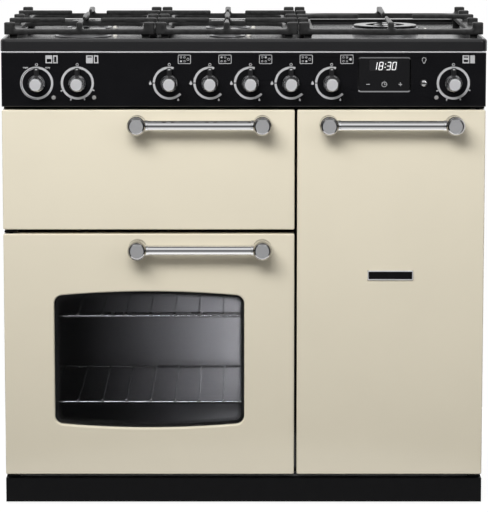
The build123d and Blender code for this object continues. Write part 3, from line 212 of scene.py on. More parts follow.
def tinted_glass(name, color):
    """Toughened glass with a dark tint."""
    material, tree, principled = shader(name, color, 0.02, Transmission_Weight=1.0, IOR=1.46)
    gloss = ramp(tree, noise(tree, 12, 2), [(0.3, 0.0), (0.7, 0.006)])
    tree.links.new(gloss, principled.inputs["Roughness"])
    return material


def glow(name, color, strength):
    """Surface that gives light."""
    material, tree, principled = shader(name, color, 0.4)
    principled.inputs["Emission Color"].default_value = (*color, 1)
    principled.inputs["Emission Strength"].default_value = strength
    tone = ramp(tree, noise(tree, 400, 2), [(0.3, tuple(0.92 * c for c in color)), (0.7, color)])
    tree.links.new(tone, principled.inputs["Base Color"])
    return material


CREAM = enamel("cream_enamel", (0.80, 0.735, 0.585), 0.16)
BLACK = enamel("black_enamel", (0.006, 0.006, 0.0065), 0.12)
HOB_BLACK = enamel("hob_enamel", (0.019, 0.019, 0.02), 0.17)
POWDER = powder_coat("powder_coat", (0.006, 0.006, 0.0065))
PANEL_BLACK = enamel("panel_black", (0.0065, 0.0065, 0.0075), 0.17, 0.01 * MM)
OVEN = flecked_enamel("oven_enamel", (0.045, 0.045, 0.048), (0.2, 0.2, 0.21), 0.3)
IRON = cast_iron("cast_iron")
CHROME = bright_metal("chrome", (0.86, 0.86, 0.87), 0.05)
SATIN = brushed_metal("satin_chrome", (0.72, 0.72, 0.74), 0.42, (1, 1, 1), 0.45)
POST_FACE = brushed_metal("post_face", (0.55, 0.55, 0.56), 0.42, (1, 1, 1), 0.55)
POST_CHROME = bright_metal("post_chrome", (0.5, 0.49, 0.48), 0.06)
DARK_CHROME = bright_metal("dark_chrome", (0.3, 0.3, 0.31), 0.16)
WIRE = bright_metal("bright_wire", (0.72, 0.72, 0.73), 0.16)
ZINC = galvanised("galvanised_steel")
STEEL = brushed_metal("brushed_steel", (0.6, 0.6, 0.61), 0.35, (1, 0.05, 1))
ALUMINIUM = brushed_metal("burner_aluminium", (0.62, 0.62, 0.63), 0.4, (1, 1, 1))
BRASS = bright_metal("brass", (0.75, 0.56, 0.26), 0.25, 0.1)
PLASTIC = moulded_plastic("black_plastic", (0.014, 0.014, 0.015), 0.3)
RUBBER = moulded_plastic("seal_rubber", (0.05, 0.05, 0.05), 0.7)
CERAMIC = moulded_plastic("ceramic", (0.75, 0.73, 0.68), 0.25)
LENS = moulded_plastic("lens_plastic", (0.3, 0.295, 0.29), 0.2)
GLASS = tinted_glass("window_glass", (0.8, 0.8, 0.81))
# Black frit on the window pane; the louvre slots of the rear panel take the same black as painted shade.
FRIT_AND_SLOT_SHADE = enamel("glass_frit_and_slot_shade", (0.02, 0.02, 0.021), 0.4, 0.004 * MM)
LAMP = glow("oven_lamp", (1.0, 0.93, 0.82), 6.0)
CLOCK_GLASS = enamel("clock_glass", (0.012, 0.012, 0.013), 0.08, 0.004 * MM)
INK = ink("panel_ink", (0.5, 0.5, 0.51))
DIGITS = glow("clock_digits", (0.95, 0.95, 0.95), 0.75)
DISPLAY = enamel("display_field", (0.018, 0.018, 0.019), 0.3, 0.004 * MM)

FINISHES = {
    CREAM: "grill_door_panel left_door_panel right_door_panel",
    HOB_BLACK: "hob_tray",
    BLACK: "left_side_panel right_side_panel front_frame burner_caps "
           "grill_door_liner left_door_liner right_door_liner",
    POWDER: "plinth door_hinge_brackets",
    PANEL_BLACK: "control_panel badge_plate",
    OVEN: "left_oven_cavity right_oven_cavity grill_cavity fan_covers grill_pan",
    IRON: "pan_support_left pan_support_centre pan_support_right",
    WIRE: "left_oven_shelves right_oven_shelves grill_trivet shelf_supports",
    ZINC: "base_frame rear_panel fan_motors levelling_feet",
    STEEL: "left_oven_fan right_oven_fan heating_elements",
    ALUMINIUM: "burner_heads burner_bases",
    BRASS: "gas_taps gas_rail",
    PLASTIC: "clock_module oven_controls oven_light_button terminal_box rear_rollers",
    RUBBER: "oven_seals",
    CERAMIC: "spark_electrodes",
    LENS: "indicator_lenses",
    GLASS: "left_door_outer_glass left_door_inner_glass",
    CLOCK_GLASS: "clock_window",
}


def dress_nodes():
    """Gives every CAD node its finish."""
    for material, names in FINISHES.items():
        for name in names.split():
            mesh = nodes[name].data
            mesh.materials.clear()
            mesh.materials.append(material)


def soften(name, width, segments=2):
    """Rounds a CAD node's sharp edges with modifiers, which leave its own mesh as it is."""
    piece = nodes[name]
    weld = piece.modifiers.new("weld", "WELD")
    weld.merge_threshold = 0.005 * MM
    bevel = piece.modifiers.new("soft_edges", "BEVEL")
    bevel.width = width
    bevel.segments = segments
    bevel.limit_method = "ANGLE"
    bevel.angle_limit = radians(SHARP_ANGLE)
    bevel.use_clamp_overlap = True
    bevel.harden_normals = True


def round_casting(name):
    """Rounds a CAD node all over, as a casting is, with modifiers that leave its own mesh as it is."""
    piece = nodes[name]
    skin = piece.modifiers.new("cast_skin", "REMESH")
    skin.mode = "VOXEL"
    skin.voxel_size = 2 * MM
    skin.use_smooth_shade = True
    rounding = piece.modifiers.new("cast_rounding", "SMOOTH")
    rounding.factor = 0.5
    rounding.iterations = 4
    thinning = piece.modifiers.new("cast_thinning", "DECIMATE")
    thinning.ratio = 0.3


# Mesh helpers

def piece_from(bm, name, body, materials, angle=SHARP_ANGLE):
    """Finishes a bmesh as a piece of the object that rides on a body."""
    bmesh.ops.recalc_face_normals(bm, faces=bm.faces)
    mesh = bpy.data.meshes.new(name)
    bm.to_mesh(mesh)
    bm.free()
    for material in materials:
        mesh.materials.append(material)
    mesh.polygons.foreach_set("use_smooth", [True] * len(mesh.polygons))
    mesh.set_sharp_from_angle(angle=radians(angle))
    piece = bpy.data.objects.new(name, mesh)
    bpy.context.scene.collection.objects.link(piece)
    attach(piece, body)
    return piece


FACING_FRONT = Matrix(((1, 0, 0, 0), (0, 0, -1, 0), (0, 1, 0, 0), (0, 0, 0, 1)))


def lathe(bm, profile, place, segments=64):
    """Turns a profile of (radius, height, material) about local Z.

    A stretch of the profile takes its first point's material.
    """
    rings = []
    for radius, height, _ in profile:
        if radius == 0:
            rings.append([bm.verts.new(place @ Vector((0, 0, height)))])
            continue
        rings.append([
            bm.verts.new(place @ Vector((
                radius * cos(2 * pi * i / segments), radius * sin(2 * pi * i / segments), height,
            )))
            for i in range(segments)
        ])
    for (lower, upper), (_, _, material) in zip(zip(rings, rings[1:]), profile):
        for i in range(segments):
            j = (i + 1) % segments
            corners = [
                lower[i % len(lower)], lower[j % len(lower)],
                upper[j % len(upper)], upper[i % len(upper)],
            ]
            corners = [v for k, v in enumerate(corners) if v not in corners[:k]]
            if len(corners) > 2:
                bm.faces.new(corners).material_index = material


def prism(bm, outline, place, depth, material=0):
    """Closed prism on an outline of (x, y) points, from local z 0 to depth."""
    low = [bm.verts.new(place @ Vector((x, y, 0))) for x, y in outline]
    high = [bm.verts.new(place @ Vector((x, y, depth))) for x, y in outline]
    count = len(outline)
    faces = [bm.faces.new(high), bm.faces.new(list(reversed(low)))]
    for i in range(count):
        j = (i + 1) % count
        faces.append(bm.faces.new((low[i], low[j], high[j], high[i])))
    for face in faces:
        face.material_index = material
    return faces


def arc_points(radius, start, end, steps, centre=(0, 0)):
    """Points on an arc. Angles are in degrees, clockwise from the top."""
    return [
        (
            centre[0] + radius * sin(radians(start + (end - start) * i / steps)),
            centre[1] + radius * cos(radians(start + (end - start) * i / steps)),
        )
        for i in range(steps + 1)
    ]


def point_at(radius, angle, centre):
    """Point at an angle round a centre, in degrees clockwise from the top."""
    return arc_points(radius, angle, angle, 1, centre)[0]


def rounded_outline(width, height, radius, steps=6, centre=(0, 0)):
    """Outline of a rectangle with round corners."""
    x, y = width / 2 - radius, height / 2 - radius
    outline = []
    for corner_x, corner_y, start in ((x, y, 0), (x, -y, 90), (-x, -y, 180), (-x, y, 270)):
        outline += arc_points(
            radius, start, start + 90, steps, (centre[0] + corner_x, centre[1] + corner_y)
        )
    return outline


def bridge(bm, rows):
    """Joins closed rows of points, each to the next, with a band of faces."""
    made = [[bm.verts.new(point) for point in row] for row in rows]
    for outer, inner in zip(made, made[1:]):
        for i in range(len(outer)):
            j = (i + 1) % len(outer)
            bm.faces.new((outer[i], outer[j], inner[j], inner[i]))
    return made


class Print:
    """Flat ink on a plane that faces the front: x is X and y is Z, in metres."""

    def __init__(self, y):
        self.bm = bmesh.new()
        self.y = y

    def fill(self, outline):
        """A filled outline."""
        self.bm.faces.new([self.bm.verts.new((x, self.y, z)) for x, z in outline])

    def band(self, outer, inner, closed=False):
        """A band between two rows of points."""
        rows = [[self.bm.verts.new((x, self.y, z)) for x, z in row] for row in (outer, inner)]
        count = len(outer)
        for i in range(count if closed else count - 1):
            j = (i + 1) % count
            self.bm.faces.new((rows[0][i], rows[0][j], rows[1][j], rows[1][i]))

    def arc(self, centre, outer, inner, start, end, steps=48):
        """An arc of a ring. Angles are in degrees, clockwise from the top."""
        self.band(
            arc_points(outer, start, end, steps, centre), arc_points(inner, start, end, steps, centre)
        )

    def disc(self, centre, radius):
        """A filled circle."""
        self.fill(arc_points(radius, 0, 360, 20, centre)[:-1])

    def frame(self, centre, width, height, radius, stroke):
        """A rounded outline with a stroke."""
        self.band(
            rounded_outline(width, height, radius, 6, centre),
            rounded_outline(width - 2 * stroke, height - 2 * stroke, radius - stroke, 6, centre),
            closed=True,
        )

    def bar(self, start, end, width):
        """A straight stroke."""
        along = Vector((end[0] - start[0], end[1] - start[1])).normalized() * (width / 2)
        across = (-along.y, along.x)
        self.fill([
            (start[0] + across[0], start[1] + across[1]), (end[0] + across[0], end[1] + across[1]),
            (end[0] - across[0], end[1] - across[1]), (start[0] - across[0], start[1] - across[1]),
        ])

    def flame(self, centre, height):
        """A small flame: a drop with its tip at the top."""
        shape = [(0, 0.55), (0.16, 0.2), (0.34, -0.1), (0.34, -0.32), (0.18, -0.5), (-0.18, -0.5),
                 (-0.34, -0.32), (-0.34, -0.1), (-0.16, 0.2)]
        self.fill([(centre[0] + x * height, centre[1] + y * height) for x, y in shape])

    def finish(self, name, material):
        """The print as a piece of the cooker."""
        return piece_from(self.bm, name, "cooker", [material])


# Control panel

DIAL_OUTER, DIAL_INNER = 30.6 * MM, 26.4 * MM
DIAL_MARK_INNER, DIAL_MARK_OUTER = 29.5 * MM, 34.5 * MM
OVEN_MARK_ANGLES = (114, 156.5, 201.5, 244)
ICON_OFFSET = (28 * MM, 44 * MM)
ICON_SIZE = (24 * MM, 17 * MM)
ICON_BURNERS = [(-6.3, -3.6), (-6.3, 3.6), (0.2, 3.6), (0.2, -3.6), (6.6, 0)]
WOK_BURNER = 4
NOUGHT_LIFT = 34.2 * MM
BULB_Z = 0.8395


def print_burner_icon(ink_print, centre, chosen):
    """Plan of the five burners in a frame, with one burner filled."""
    ink_print.frame(centre, *ICON_SIZE, 2.2 * MM, 1.1 * MM)
    for i, (x, z) in enumerate(ICON_BURNERS):
        spot = (centre[0] + x * MM, centre[1] + z * MM)
        radius = 2.5 * MM if i == WOK_BURNER else 1.9 * MM
        if i == chosen:
            ink_print.disc(spot, radius)
        else:
            ink_print.arc(spot, radius, radius - 0.7 * MM, 0, 360, 20)


def print_oven_icon(ink_print, centre, chosen):
    """Front of the cooker: two blocks of ink, with bare panel where a compartment isn't meant."""
    def block(x0, z0, x1, z1):
        x, z = centre
        return [(x + x0 * MM, z + z0 * MM), (x + x1 * MM, z + z0 * MM),
                (x + x1 * MM, z + z1 * MM), (x + x0 * MM, z + z1 * MM)]

    left, right = (-11.4, -7.4, 1.0, 7.4), (2.8, -7.4, 11.2, 7.4)
    grill_hole, oven_hole = (-9.0, 3.2, -1.2, 5.4), (-9.0, -5.4, -0.6, 0.6)
    tall_hole = (4.6, -5.4, 8.8, 5.0)
    if chosen == "right":
        ink_print.fill(block(*right))
        ink_print.band(block(-11.4, -7.4, 1.0, 1.4), block(-9.2, -5.2, -1.2, -0.8), closed=True)
        ink_print.band(block(-11.4, 1.4, 1.0, 7.4), block(-9.2, 3.0, -1.2, 5.3), closed=True)
        return
    ink_print.band(block(*left), block(*(oven_hole if chosen == "grill" else grill_hole)), closed=True)
    ink_print.band(block(*right), block(*tall_hole), closed=True)


def print_burner_dial(ink_print, centre):
    """Dial of a gas knob in two arcs, with a large flame and a small one."""
    ink_print.arc(centre, DIAL_OUTER, DIAL_INNER, -88, 16, 40)
    ink_print.arc(centre, DIAL_OUTER, DIAL_INNER, -226, -92, 50)
    ink_print.flame((centre[0] - 35.2 * MM, centre[1] + 0.5 * MM), 7.5 * MM)
    ink_print.flame((centre[0] + 16.4 * MM, centre[1] - 30.6 * MM), 5 * MM)


def print_oven_dial(ink_print, centre):
    """Dial of an oven knob: a ring with four marks."""
    ink_print.arc(centre, DIAL_OUTER, DIAL_INNER, 0, 360, 96)
    for angle in OVEN_MARK_ANGLES:
        inner, outer = [point_at(r, angle, centre) for r in (DIAL_MARK_INNER, DIAL_MARK_OUTER)]
        ink_print.bar(inner, outer, 2.2 * MM)


def print_grill_dial(ink_print, centre):
    """Dial of the grill knob: a ring parted at the left by a line, and two grill symbols."""
    steps = 64

    def parting(depth):
        return [
            point_at(DIAL_OUTER - (depth + 1.7 * i / steps) * MM, 180 + 180 * i / steps, centre)
            for i in range(steps + 1)
        ]

    ink_print.arc(centre, DIAL_OUTER, DIAL_INNER, 0, 180, steps)
    ink_print.band(arc_points(DIAL_OUTER, 180, 360, steps, centre), parting(0.6))
    ink_print.band(parting(1.5), arc_points(DIAL_INNER, 180, 360, steps, centre))
    for side in (-1, 1):
        x, z = centre[0] + side * 20.5 * MM, centre[1] + 29 * MM
        ink_print.bar((x - 4.6 * MM, z), (x + 4.6 * MM, z), 1.3 * MM)
        for tooth in (-3, 0, 3):
            ink_print.bar((x + tooth * MM, z), (x + tooth * MM, z - 2.2 * MM), 1.1 * MM)


def print_bulb(ink_print, x, z):
    """Lamp symbol: an open ring, two sides and a cap."""
    ink_print.arc((x, z), 4.1 * MM, 3.2 * MM, -140, 140, 30)
    for side in (-1, 1):
        ink_print.bar((x + side * 2.4 * MM, z - 3 * MM), (x + side * 1.6 * MM, z - 6 * MM), 0.9 * MM)
    ink_print.bar((x - 1.7 * MM, z - 6.4 * MM), (x + 1.7 * MM, z - 6.4 * MM), 1.6 * MM)


def print_panel():
    """Dials, noughts, symbols and flames, screen-printed on the control panel."""
    ink_print = Print(PANEL_Y - PRINT_LIFT)
    for name in KNOBS:
        x = middle(name).x
        centre = (x, KNOB_Z)
        ink_print.arc((x, KNOB_Z + NOUGHT_LIFT), 2.7 * MM, 1.7 * MM, 0, 360, 24)
        icon = (x + ICON_OFFSET[0], KNOB_Z + ICON_OFFSET[1])
        if name in BURNER_KNOBS:
            print_burner_icon(ink_print, icon, BURNER_KNOBS.index(name))
            print_burner_dial(ink_print, centre)
            continue
        print_oven_icon(ink_print, icon, name.split("_")[0])
        if name in OVEN_KNOBS:
            print_oven_dial(ink_print, centre)
        else:
            print_grill_dial(ink_print, centre)
    print_bulb(ink_print, middle("oven_light_button").x, BULB_Z)
    ink_print.finish("panel_print", INK)


SEGMENTS = {"0": "abcdef", "1": "bc", "3": "abgcd", "8": "abcdefg"}
FIELD_CENTRE, FIELD_SIZE = (0.2585, 0.829), (52 * MM, 20 * MM)
TIME = (("1", 0.2384), ("8", 0.2494), ("3", 0.2638), ("0", 0.2740))
DIGIT_Z = 0.8205
DIGIT_SIZE = (6.3 * MM, 14.0 * MM)
DIGIT_STROKE = 0.95 * MM
DIGIT_SLANT = 0.16
COLON_X, COLON_Z = 0.2604, (0.825, 0.8312)
KEY_Z = 0.7935
MINUS_X, PLUS_X = 0.23, 0.2897
KEY_HALF, KEY_STROKE = 3.5 * MM, 1.2 * MM
HAND_STROKE = 0.9 * MM


def print_digit(display, digit, corner, width, height, stroke, slant):
    """One seven-segment digit, leaning by a slant."""
    def lean(x, z):
        return corner[0] + x + slant * z, corner[1] + z

    half = height / 2
    gap = 0.25 * stroke
    lines = {
        "a": ((gap, height), (width - gap, height)), "g": ((gap, half), (width - gap, half)),
        "d": ((gap, 0), (width - gap, 0)), "f": ((0, half + gap), (0, height - gap)),
        "b": ((width, half + gap), (width, height - gap)), "e": ((0, gap), (0, half - gap)),
        "c": ((width, gap), (width, half - gap)),
    }
    for name in SEGMENTS[digit]:
        start, end = lines[name]
        display.bar(lean(*start), lean(*end), stroke)


def print_clock_keys(face_y, centre_x):
    """Touch keys: minus, a clock face and plus."""
    keys = Print(face_y)
    for x in (MINUS_X, PLUS_X):
        keys.bar((x - KEY_HALF, KEY_Z), (x + KEY_HALF, KEY_Z), KEY_STROKE)
    keys.bar((PLUS_X, KEY_Z - KEY_HALF), (PLUS_X, KEY_Z + KEY_HALF), KEY_STROKE)
    keys.arc((centre_x, KEY_Z), 5 * MM, 4 * MM, 0, 360, 32)
    keys.bar((centre_x, KEY_Z), (centre_x, KEY_Z + 3 * MM), HAND_STROKE)
    keys.bar((centre_x, KEY_Z), (centre_x + 2.2 * MM, KEY_Z - 0.6 * MM), HAND_STROKE)
    keys.finish("clock_keys", INK)


def make_clock():
    """Lit time, touch keys and the bevelled recess of the clock."""
    face_y = CLOCK[0].y - PRINT_LIFT
    centre = middle("clock_window")
    field = Print(face_y)
    field.fill(rounded_outline(*FIELD_SIZE, 1 * MM, 4, FIELD_CENTRE))
    field.finish("clock_field", DISPLAY)
    display = Print(face_y - PRINT_LIFT)
    for digit, x in TIME:
        print_digit(display, digit, (x, DIGIT_Z), *DIGIT_SIZE, DIGIT_STROKE, DIGIT_SLANT)
    for z in COLON_Z:
        display.disc((COLON_X + DIGIT_SLANT * (z - DIGIT_Z), z), 0.9 * MM)
    display.finish("clock_digits", DIGITS)
    print_clock_keys(face_y, centre.x)

    size = CLOCK[1] - CLOCK[0]
    steps = (
        (1.1, PANEL_Y + 0.2 * MM), (1.1, PANEL_Y - 0.08 * MM),
        (0.5, PANEL_Y - 0.1 * MM), (-1.8, CLOCK[0].y - 0.1 * MM),
    )
    rows = []
    for grow, y in steps:
        outline = rounded_outline(
            size.x + 2 * grow * MM, size.z + 2 * grow * MM, (5 + grow) * MM, 8, (centre.x, centre.z)
        )
        rows.append([(x, y, z) for x, z in outline])
    bm = bmesh.new()
    bridge(bm, rows)
    piece_from(bm, "clock_bezel", "cooker", [DARK_CHROME], 25)


def make_knobs():
    """Turned knobs: chromed grip with a satin face, black base and pointer with a white index."""
    for name in KNOBS:
        low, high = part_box(name)
        centre_x = (low.x + high.x) / 2
        place = Matrix.Translation((centre_x, high.y, KNOB_Z)) @ FACING_FRONT
        reach = high.y - low.y
        bm = bmesh.new()
        chrome, satin, black, white = range(4)
        lathe(bm, [
            (0, 0, black), (15.2 * MM, 0, black),
            (15.5 * MM, 0.4 * MM, black), (15.5 * MM, 7.0 * MM, black),
            (15.2 * MM, 7.4 * MM, chrome), (15.6 * MM, 7.8 * MM, chrome), (15.6 * MM, 9.0 * MM, chrome),
            (15.0 * MM, 9.9 * MM, chrome), (13.8 * MM, 11.2 * MM, chrome), (12.6 * MM, 14 * MM, chrome),
            (11.7 * MM, 19 * MM, chrome), (11.2 * MM, 25 * MM, chrome), (11.1 * MM, reach - 3 * MM, chrome),
            (11.3 * MM, reach - 1.4 * MM, chrome), (11.2 * MM, reach - 0.7 * MM, chrome),
            (10.8 * MM, reach - 0.25 * MM, chrome), (10.3 * MM, reach - 0.05 * MM, satin),
            (9.6 * MM, reach, satin), (0, reach, satin),
        ], place)
        pointer = [(-4.0 * MM, 9 * MM), (4.0 * MM, 9 * MM), (4.8 * MM, 28.4 * MM), (-4.8 * MM, 28.4 * MM)]
        faces = prism(bm, pointer, place, 10.8 * MM, black)
        edges = {edge for face in faces for edge in face.edges}
        bmesh.ops.bevel(bm, geom=list(edges), offset=1.3 * MM, segments=3, affect="EDGES", material=black)
        index = [
            (-2.1 * MM, 25.0 * MM), (2.1 * MM, 25.0 * MM),
            (2.1 * MM, 27.0 * MM), (-2.1 * MM, 27.0 * MM),
        ]
        prism(bm, index, place @ Matrix.Translation((0, 0, 10.7 * MM)), 0.25 * MM, white)
        piece = piece_from(bm, name + "_turned", name, [CHROME, SATIN, PLASTIC, INK])
        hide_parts(name)


def make_light_button():
    """Push button for the oven light: a black collar round a chromed dome."""
    low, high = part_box("oven_light_button")
    centre = middle("oven_light_button")
    reach = high.y - low.y
    stem = 3 * MM
    black, chrome = range(2)
    bm = bmesh.new()
    lathe(bm, [
        (0, 0, black), (stem, 0, black),
        (stem, reach - 13 * MM, black), (7.7 * MM, reach - 12.8 * MM, black),
        (7.8 * MM, reach - 3 * MM, black), (7.4 * MM, reach - 2.3 * MM, black),
        (6.5 * MM, reach - 2.2 * MM, black), (6.1 * MM, reach - 2.9 * MM, chrome),
        (5.9 * MM, reach - 2.0 * MM, chrome), (5.0 * MM, reach - 1.0 * MM, chrome),
        (3.4 * MM, reach - 0.35 * MM, chrome), (1.7 * MM, reach - 0.08 * MM, chrome), (0, reach, chrome),
    ], Matrix.Translation((centre.x, high.y, centre.z)) @ FACING_FRONT, 40)
    materials = [PLASTIC, CHROME]
    piece = piece_from(bm, "oven_light_button_turned", "oven_light_button", materials)
    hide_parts("oven_light_button")


# Doors

BAR_STANDOFF = 27 * MM
WINDOW_X = (-354.25 * MM, 0.75 * MM)
WINDOW_Z = (153.5 * MM, 396.5 * MM)
WINDOW_BOW = 8.5 * MM
FRIT_BANDS = ((-5, 6.2), (6.9, 7.9), (8.8, 9.5), (10.6, 11.0))


def make_handles():
    """Chromed handles: turned posts with satin faces, and a bar with collars."""
    bodies = {"grill_door_handle": "grill_door", "left_door_handle": "left_oven_door",
              "right_door_handle": "right_oven_door"}
    for name, body in bodies.items():
        low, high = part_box(name)
        z = (low.z + high.z) / 2
        radius = (high.z - low.z) / 2
        reach = high.y - low.y
        posts = (low.x + radius, high.x - radius)
        bm = bmesh.new()
        chrome, satin, post = range(3)
        for x in posts:
            place = Matrix.Translation((x, high.y, z)) @ FACING_FRONT
            lathe(bm, [
                (0, 0, post), (radius - 0.4 * MM, 0, post), (radius, 0.5 * MM, post),
                (radius, 13.6 * MM, post), (radius - 0.5 * MM, 14.6 * MM, post),
                (radius - 1.6 * MM, 15.1 * MM, post), (radius - 1.6 * MM, 16.8 * MM, post),
                (radius - 0.5 * MM, 17.3 * MM, post), (radius, 18.2 * MM, post),
                (radius, reach - 5.6 * MM, post), (radius - 0.4 * MM, reach - 4.6 * MM, post),
                (radius - 3.6 * MM, reach - 0.9 * MM, chrome),
                (radius - 4.3 * MM, reach - 0.4 * MM, chrome),
                (radius - 5 * MM, reach - 0.5 * MM, satin), (radius - 5.4 * MM, reach - 0.9 * MM, satin),
                (0, reach - 0.9 * MM, satin),
            ], place)
        along = Matrix.Translation((posts[0], DOOR_Y - BAR_STANDOFF, z)) @ Matrix.Rotation(pi / 2, 4, "Y")
        length = posts[1] - posts[0]
        start, end = radius - 3 * MM, length - radius + 3 * MM
        lathe(bm, [
            (0, start, chrome), (10.2 * MM, start, chrome), (10.2 * MM, start + 5.6 * MM, chrome),
            (9.9 * MM, start + 6.4 * MM, chrome), (9.4 * MM, start + 6.6 * MM, chrome),
            (9.3 * MM, start + 7.4 * MM, chrome), (9.3 * MM, end - 7.4 * MM, chrome),
            (9.4 * MM, end - 6.6 * MM, chrome), (9.9 * MM, end - 6.4 * MM, chrome),
            (10.2 * MM, end - 5.6 * MM, chrome), (10.2 * MM, end, chrome), (0, end, chrome),
        ], along, 48)
        piece = piece_from(bm, name + "_turned", body, [CHROME, POST_FACE, POST_CHROME])
        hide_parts(name)


def make_badge_border():
    """Half-round bright border round the bare badge plate."""
    low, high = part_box("badge_plate")
    centre = ((low.x + high.x) / 2, (low.z + high.z) / 2)
    width, height = high.x - low.x, high.z - low.z
    profile = ((0.15, 2), (0.15, 0.4), (-0.1, -0.2), (-0.7, -0.5), (-1.4, -0.5), (-1.9, -0.2), (-2.1, 0.3))
    bm = bmesh.new()
    rows = []
    for spread, depth in profile:
        outline = rounded_outline(
            width + 2 * spread * MM, height + 2 * spread * MM, (2.4 + spread) * MM, 5, centre
        )
        rows.append([(x, low.y + depth * MM, z) for x, z in outline])
    bridge(bm, rows)
    piece_from(bm, "badge_border", "right_oven_door", [SATIN], 50)


def window_outline(inset, corner, steps=24):
    """The window's outline with bowed top and bottom, drawn in by an inset."""
    x0, x1 = WINDOW_X[0] + inset, WINDOW_X[1] - inset
    z0, z1 = WINDOW_Z[0] + inset, WINDOW_Z[1] - inset
    half = (x1 - x0) / 2
    centre_x, centre_z = (x0 + x1) / 2, (z0 + z1) / 2
    outline = rounded_outline(x1 - x0, z1 - z0, corner, 8, (centre_x, centre_z))
    dense = []
    for (ax, az), (bx, bz) in zip(outline, outline[1:] + outline[:1]):
        count = steps if abs(bx - ax) > half else 1
        dense += [(ax + (bx - ax) * i / count, az + (bz - az) * i / count) for i in range(count)]
    return [
        (x, z + (1 if z > centre_z else -1) * WINDOW_BOW * max(0, 1 - ((x - centre_x) / half) ** 2))
        for x, z in dense
    ]


def make_window_frit():
    """Black border fired on the back of the outer pane."""
    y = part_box("left_door_outer_glass")[1].y + 0.1 * MM
    bm = bmesh.new()
    for band in FRIT_BANDS:
        bridge(bm, [
            [(x, y, z) for x, z in window_outline(inset * MM, max(10, 16 - inset) * MM)]
            for inset in band
        ])
    piece_from(bm, "window_frit", "left_oven_door", [FRIT_AND_SLOT_SHADE])


# Hob

def make_hob_highlight_strip():
    """Half-round pale strip in the joint between the hob's rim and the control panel: a painted highlight
    standing in for the light caught by the panel's top edge.
    """
    panel_low, panel_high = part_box("control_panel")
    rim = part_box("hob_tray")[0]
    z0, z1 = panel_high.z + 0.2 * MM, rim.z - 0.2 * MM
    centre, radius = (z0 + z1) / 2, (z1 - z0) / 2
    # The strip stands a little proud of the rim, so the lamps light it as that painted highlight.
    front = rim.y - 0.6 * MM
    section = [(front + 8 * MM, z1), (front + radius, z1)]
    section += [
        (front + radius - radius * cos(radians(a)), centre + radius * sin(radians(a)))
        for a in range(60, -61, -20)
    ]
    section += [(front + radius, z0), (front + 8 * MM, z0)]
    bm = bmesh.new()
    ends = bridge(bm, [[(x, y, z) for y, z in section]
                       for x in (panel_low.x + 1 * MM, panel_high.x - 1 * MM)])
    for end in ends:
        bm.faces.new(end)
    piece_from(bm, "hob_highlight_strip", "cooker", [SATIN], 50)


# Ovens

SHELF_PITCH = 46 * MM
LAMP_INSET = 2 * MM
LAMP_Y = -0.04
LEFT_LAMP_Z, RIGHT_LAMP_Z = 0.407, 0.6


def make_shelf_tips():
    """Beaded front ends of the shelves' wires."""
    bm = bmesh.new()
    radius = 3.1 * MM
    bead = [(0, -radius, 0)]
    bead += [(radius * cos(radians(a)), radius * sin(radians(a)), 0) for a in range(-75, 90, 15)]
    bead += [(0, radius, 0)]
    for name, levels in (("left_oven_shelves", 2), ("right_oven_shelves", 3)):
        low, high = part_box(name)
        count = int((high.x - low.x) // SHELF_PITCH)
        first, last = low.z + 5.7 * MM, high.z - 2 * MM
        for level in range(levels):
            z = first + (last - first) * level / (levels - 1)
            for i in range(count):
                x = (low.x + high.x) / 2 + (i - (count - 1) / 2) * SHELF_PITCH
                lathe(bm, bead, Matrix.Translation((x, low.y + 4 * MM, z + 0.8 * MM)), 16)
    piece_from(bm, "shelf_wire_tips", "cooker", [WIRE], 60)


def make_oven_lamps():
    """Lamp lens in a steel ring on each oven's side wall, and the left oven's light."""
    bm = bmesh.new()
    steel, lens = range(2)
    profile = [
        (0, 0, steel), (25 * MM, 0, steel), (25 * MM, 3 * MM, steel), (24 * MM, 4 * MM, steel),
        (21 * MM, 4.4 * MM, steel), (20 * MM, 3.6 * MM, lens), (19.5 * MM, 6 * MM, lens),
        (16 * MM, 9.5 * MM, lens), (9 * MM, 11.6 * MM, lens), (0, 12.2 * MM, lens),
    ]
    left_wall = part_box("left_oven_cavity")[1].x - LAMP_INSET
    right_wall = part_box("right_oven_cavity")[0].x + LAMP_INSET
    for x, z, turn in ((left_wall, LEFT_LAMP_Z, -pi / 2), (right_wall, RIGHT_LAMP_Z, pi / 2)):
        lathe(bm, profile, Matrix.Translation((x, LAMP_Y, z)) @ Matrix.Rotation(turn, 4, "Y"), 40)
    piece_from(bm, "oven_lamps", "cooker", [STEEL, LAMP])
    x = left_wall - 14 * MM
    light = area_light(
        "oven_light", place=(x, -0.13, 0.25), target=(x, 0.2, 0.25), size=(0.05, 0.34),
        power=5.2, spread=radians(104),
    )
    light.visible_transmission = False
    light.visible_glossy = False


# Back and sides

REAR_HOLES = (((0.42, 0.774), 13.5 * MM), ((-0.3, 0.12), 12.5 * MM))
REAR_BEAD_SIZE = (0.375, 0.42)
REAR_BEAD_X, REAR_BEAD_Z = 0.205, 0.46
REAR_SCREW_INSET = 11 * MM
REAR_SCREW_X = (-0.3, -0.1, 0.1, 0.3)
REAR_SCREW_Z = (0.08, 0.27, 0.46, 0.65, 0.8)
LOUVRE_COUNT = 10
LOUVRE_PITCH, LOUVRE_HALF = 62 * MM, 24 * MM
LOUVRE_Z = (0.745, 0.765, 0.785)
LOUVRE_HOOD = ((0, 7 * MM), (1.4 * MM, 0), (1.0 * MM, 0), (0.3 * MM, -4.5 * MM), (0, -4.5 * MM))
SIDE_BEAD_MARGIN = (0.11, 0.14)
SIDE_SCREW_INSET = 14 * MM
SIDE_SCREW_Y = (-0.19, 0.0, 0.19)
SIDE_SCREW_Z = (0.09, 0.27, 0.45, 0.63, 0.81)
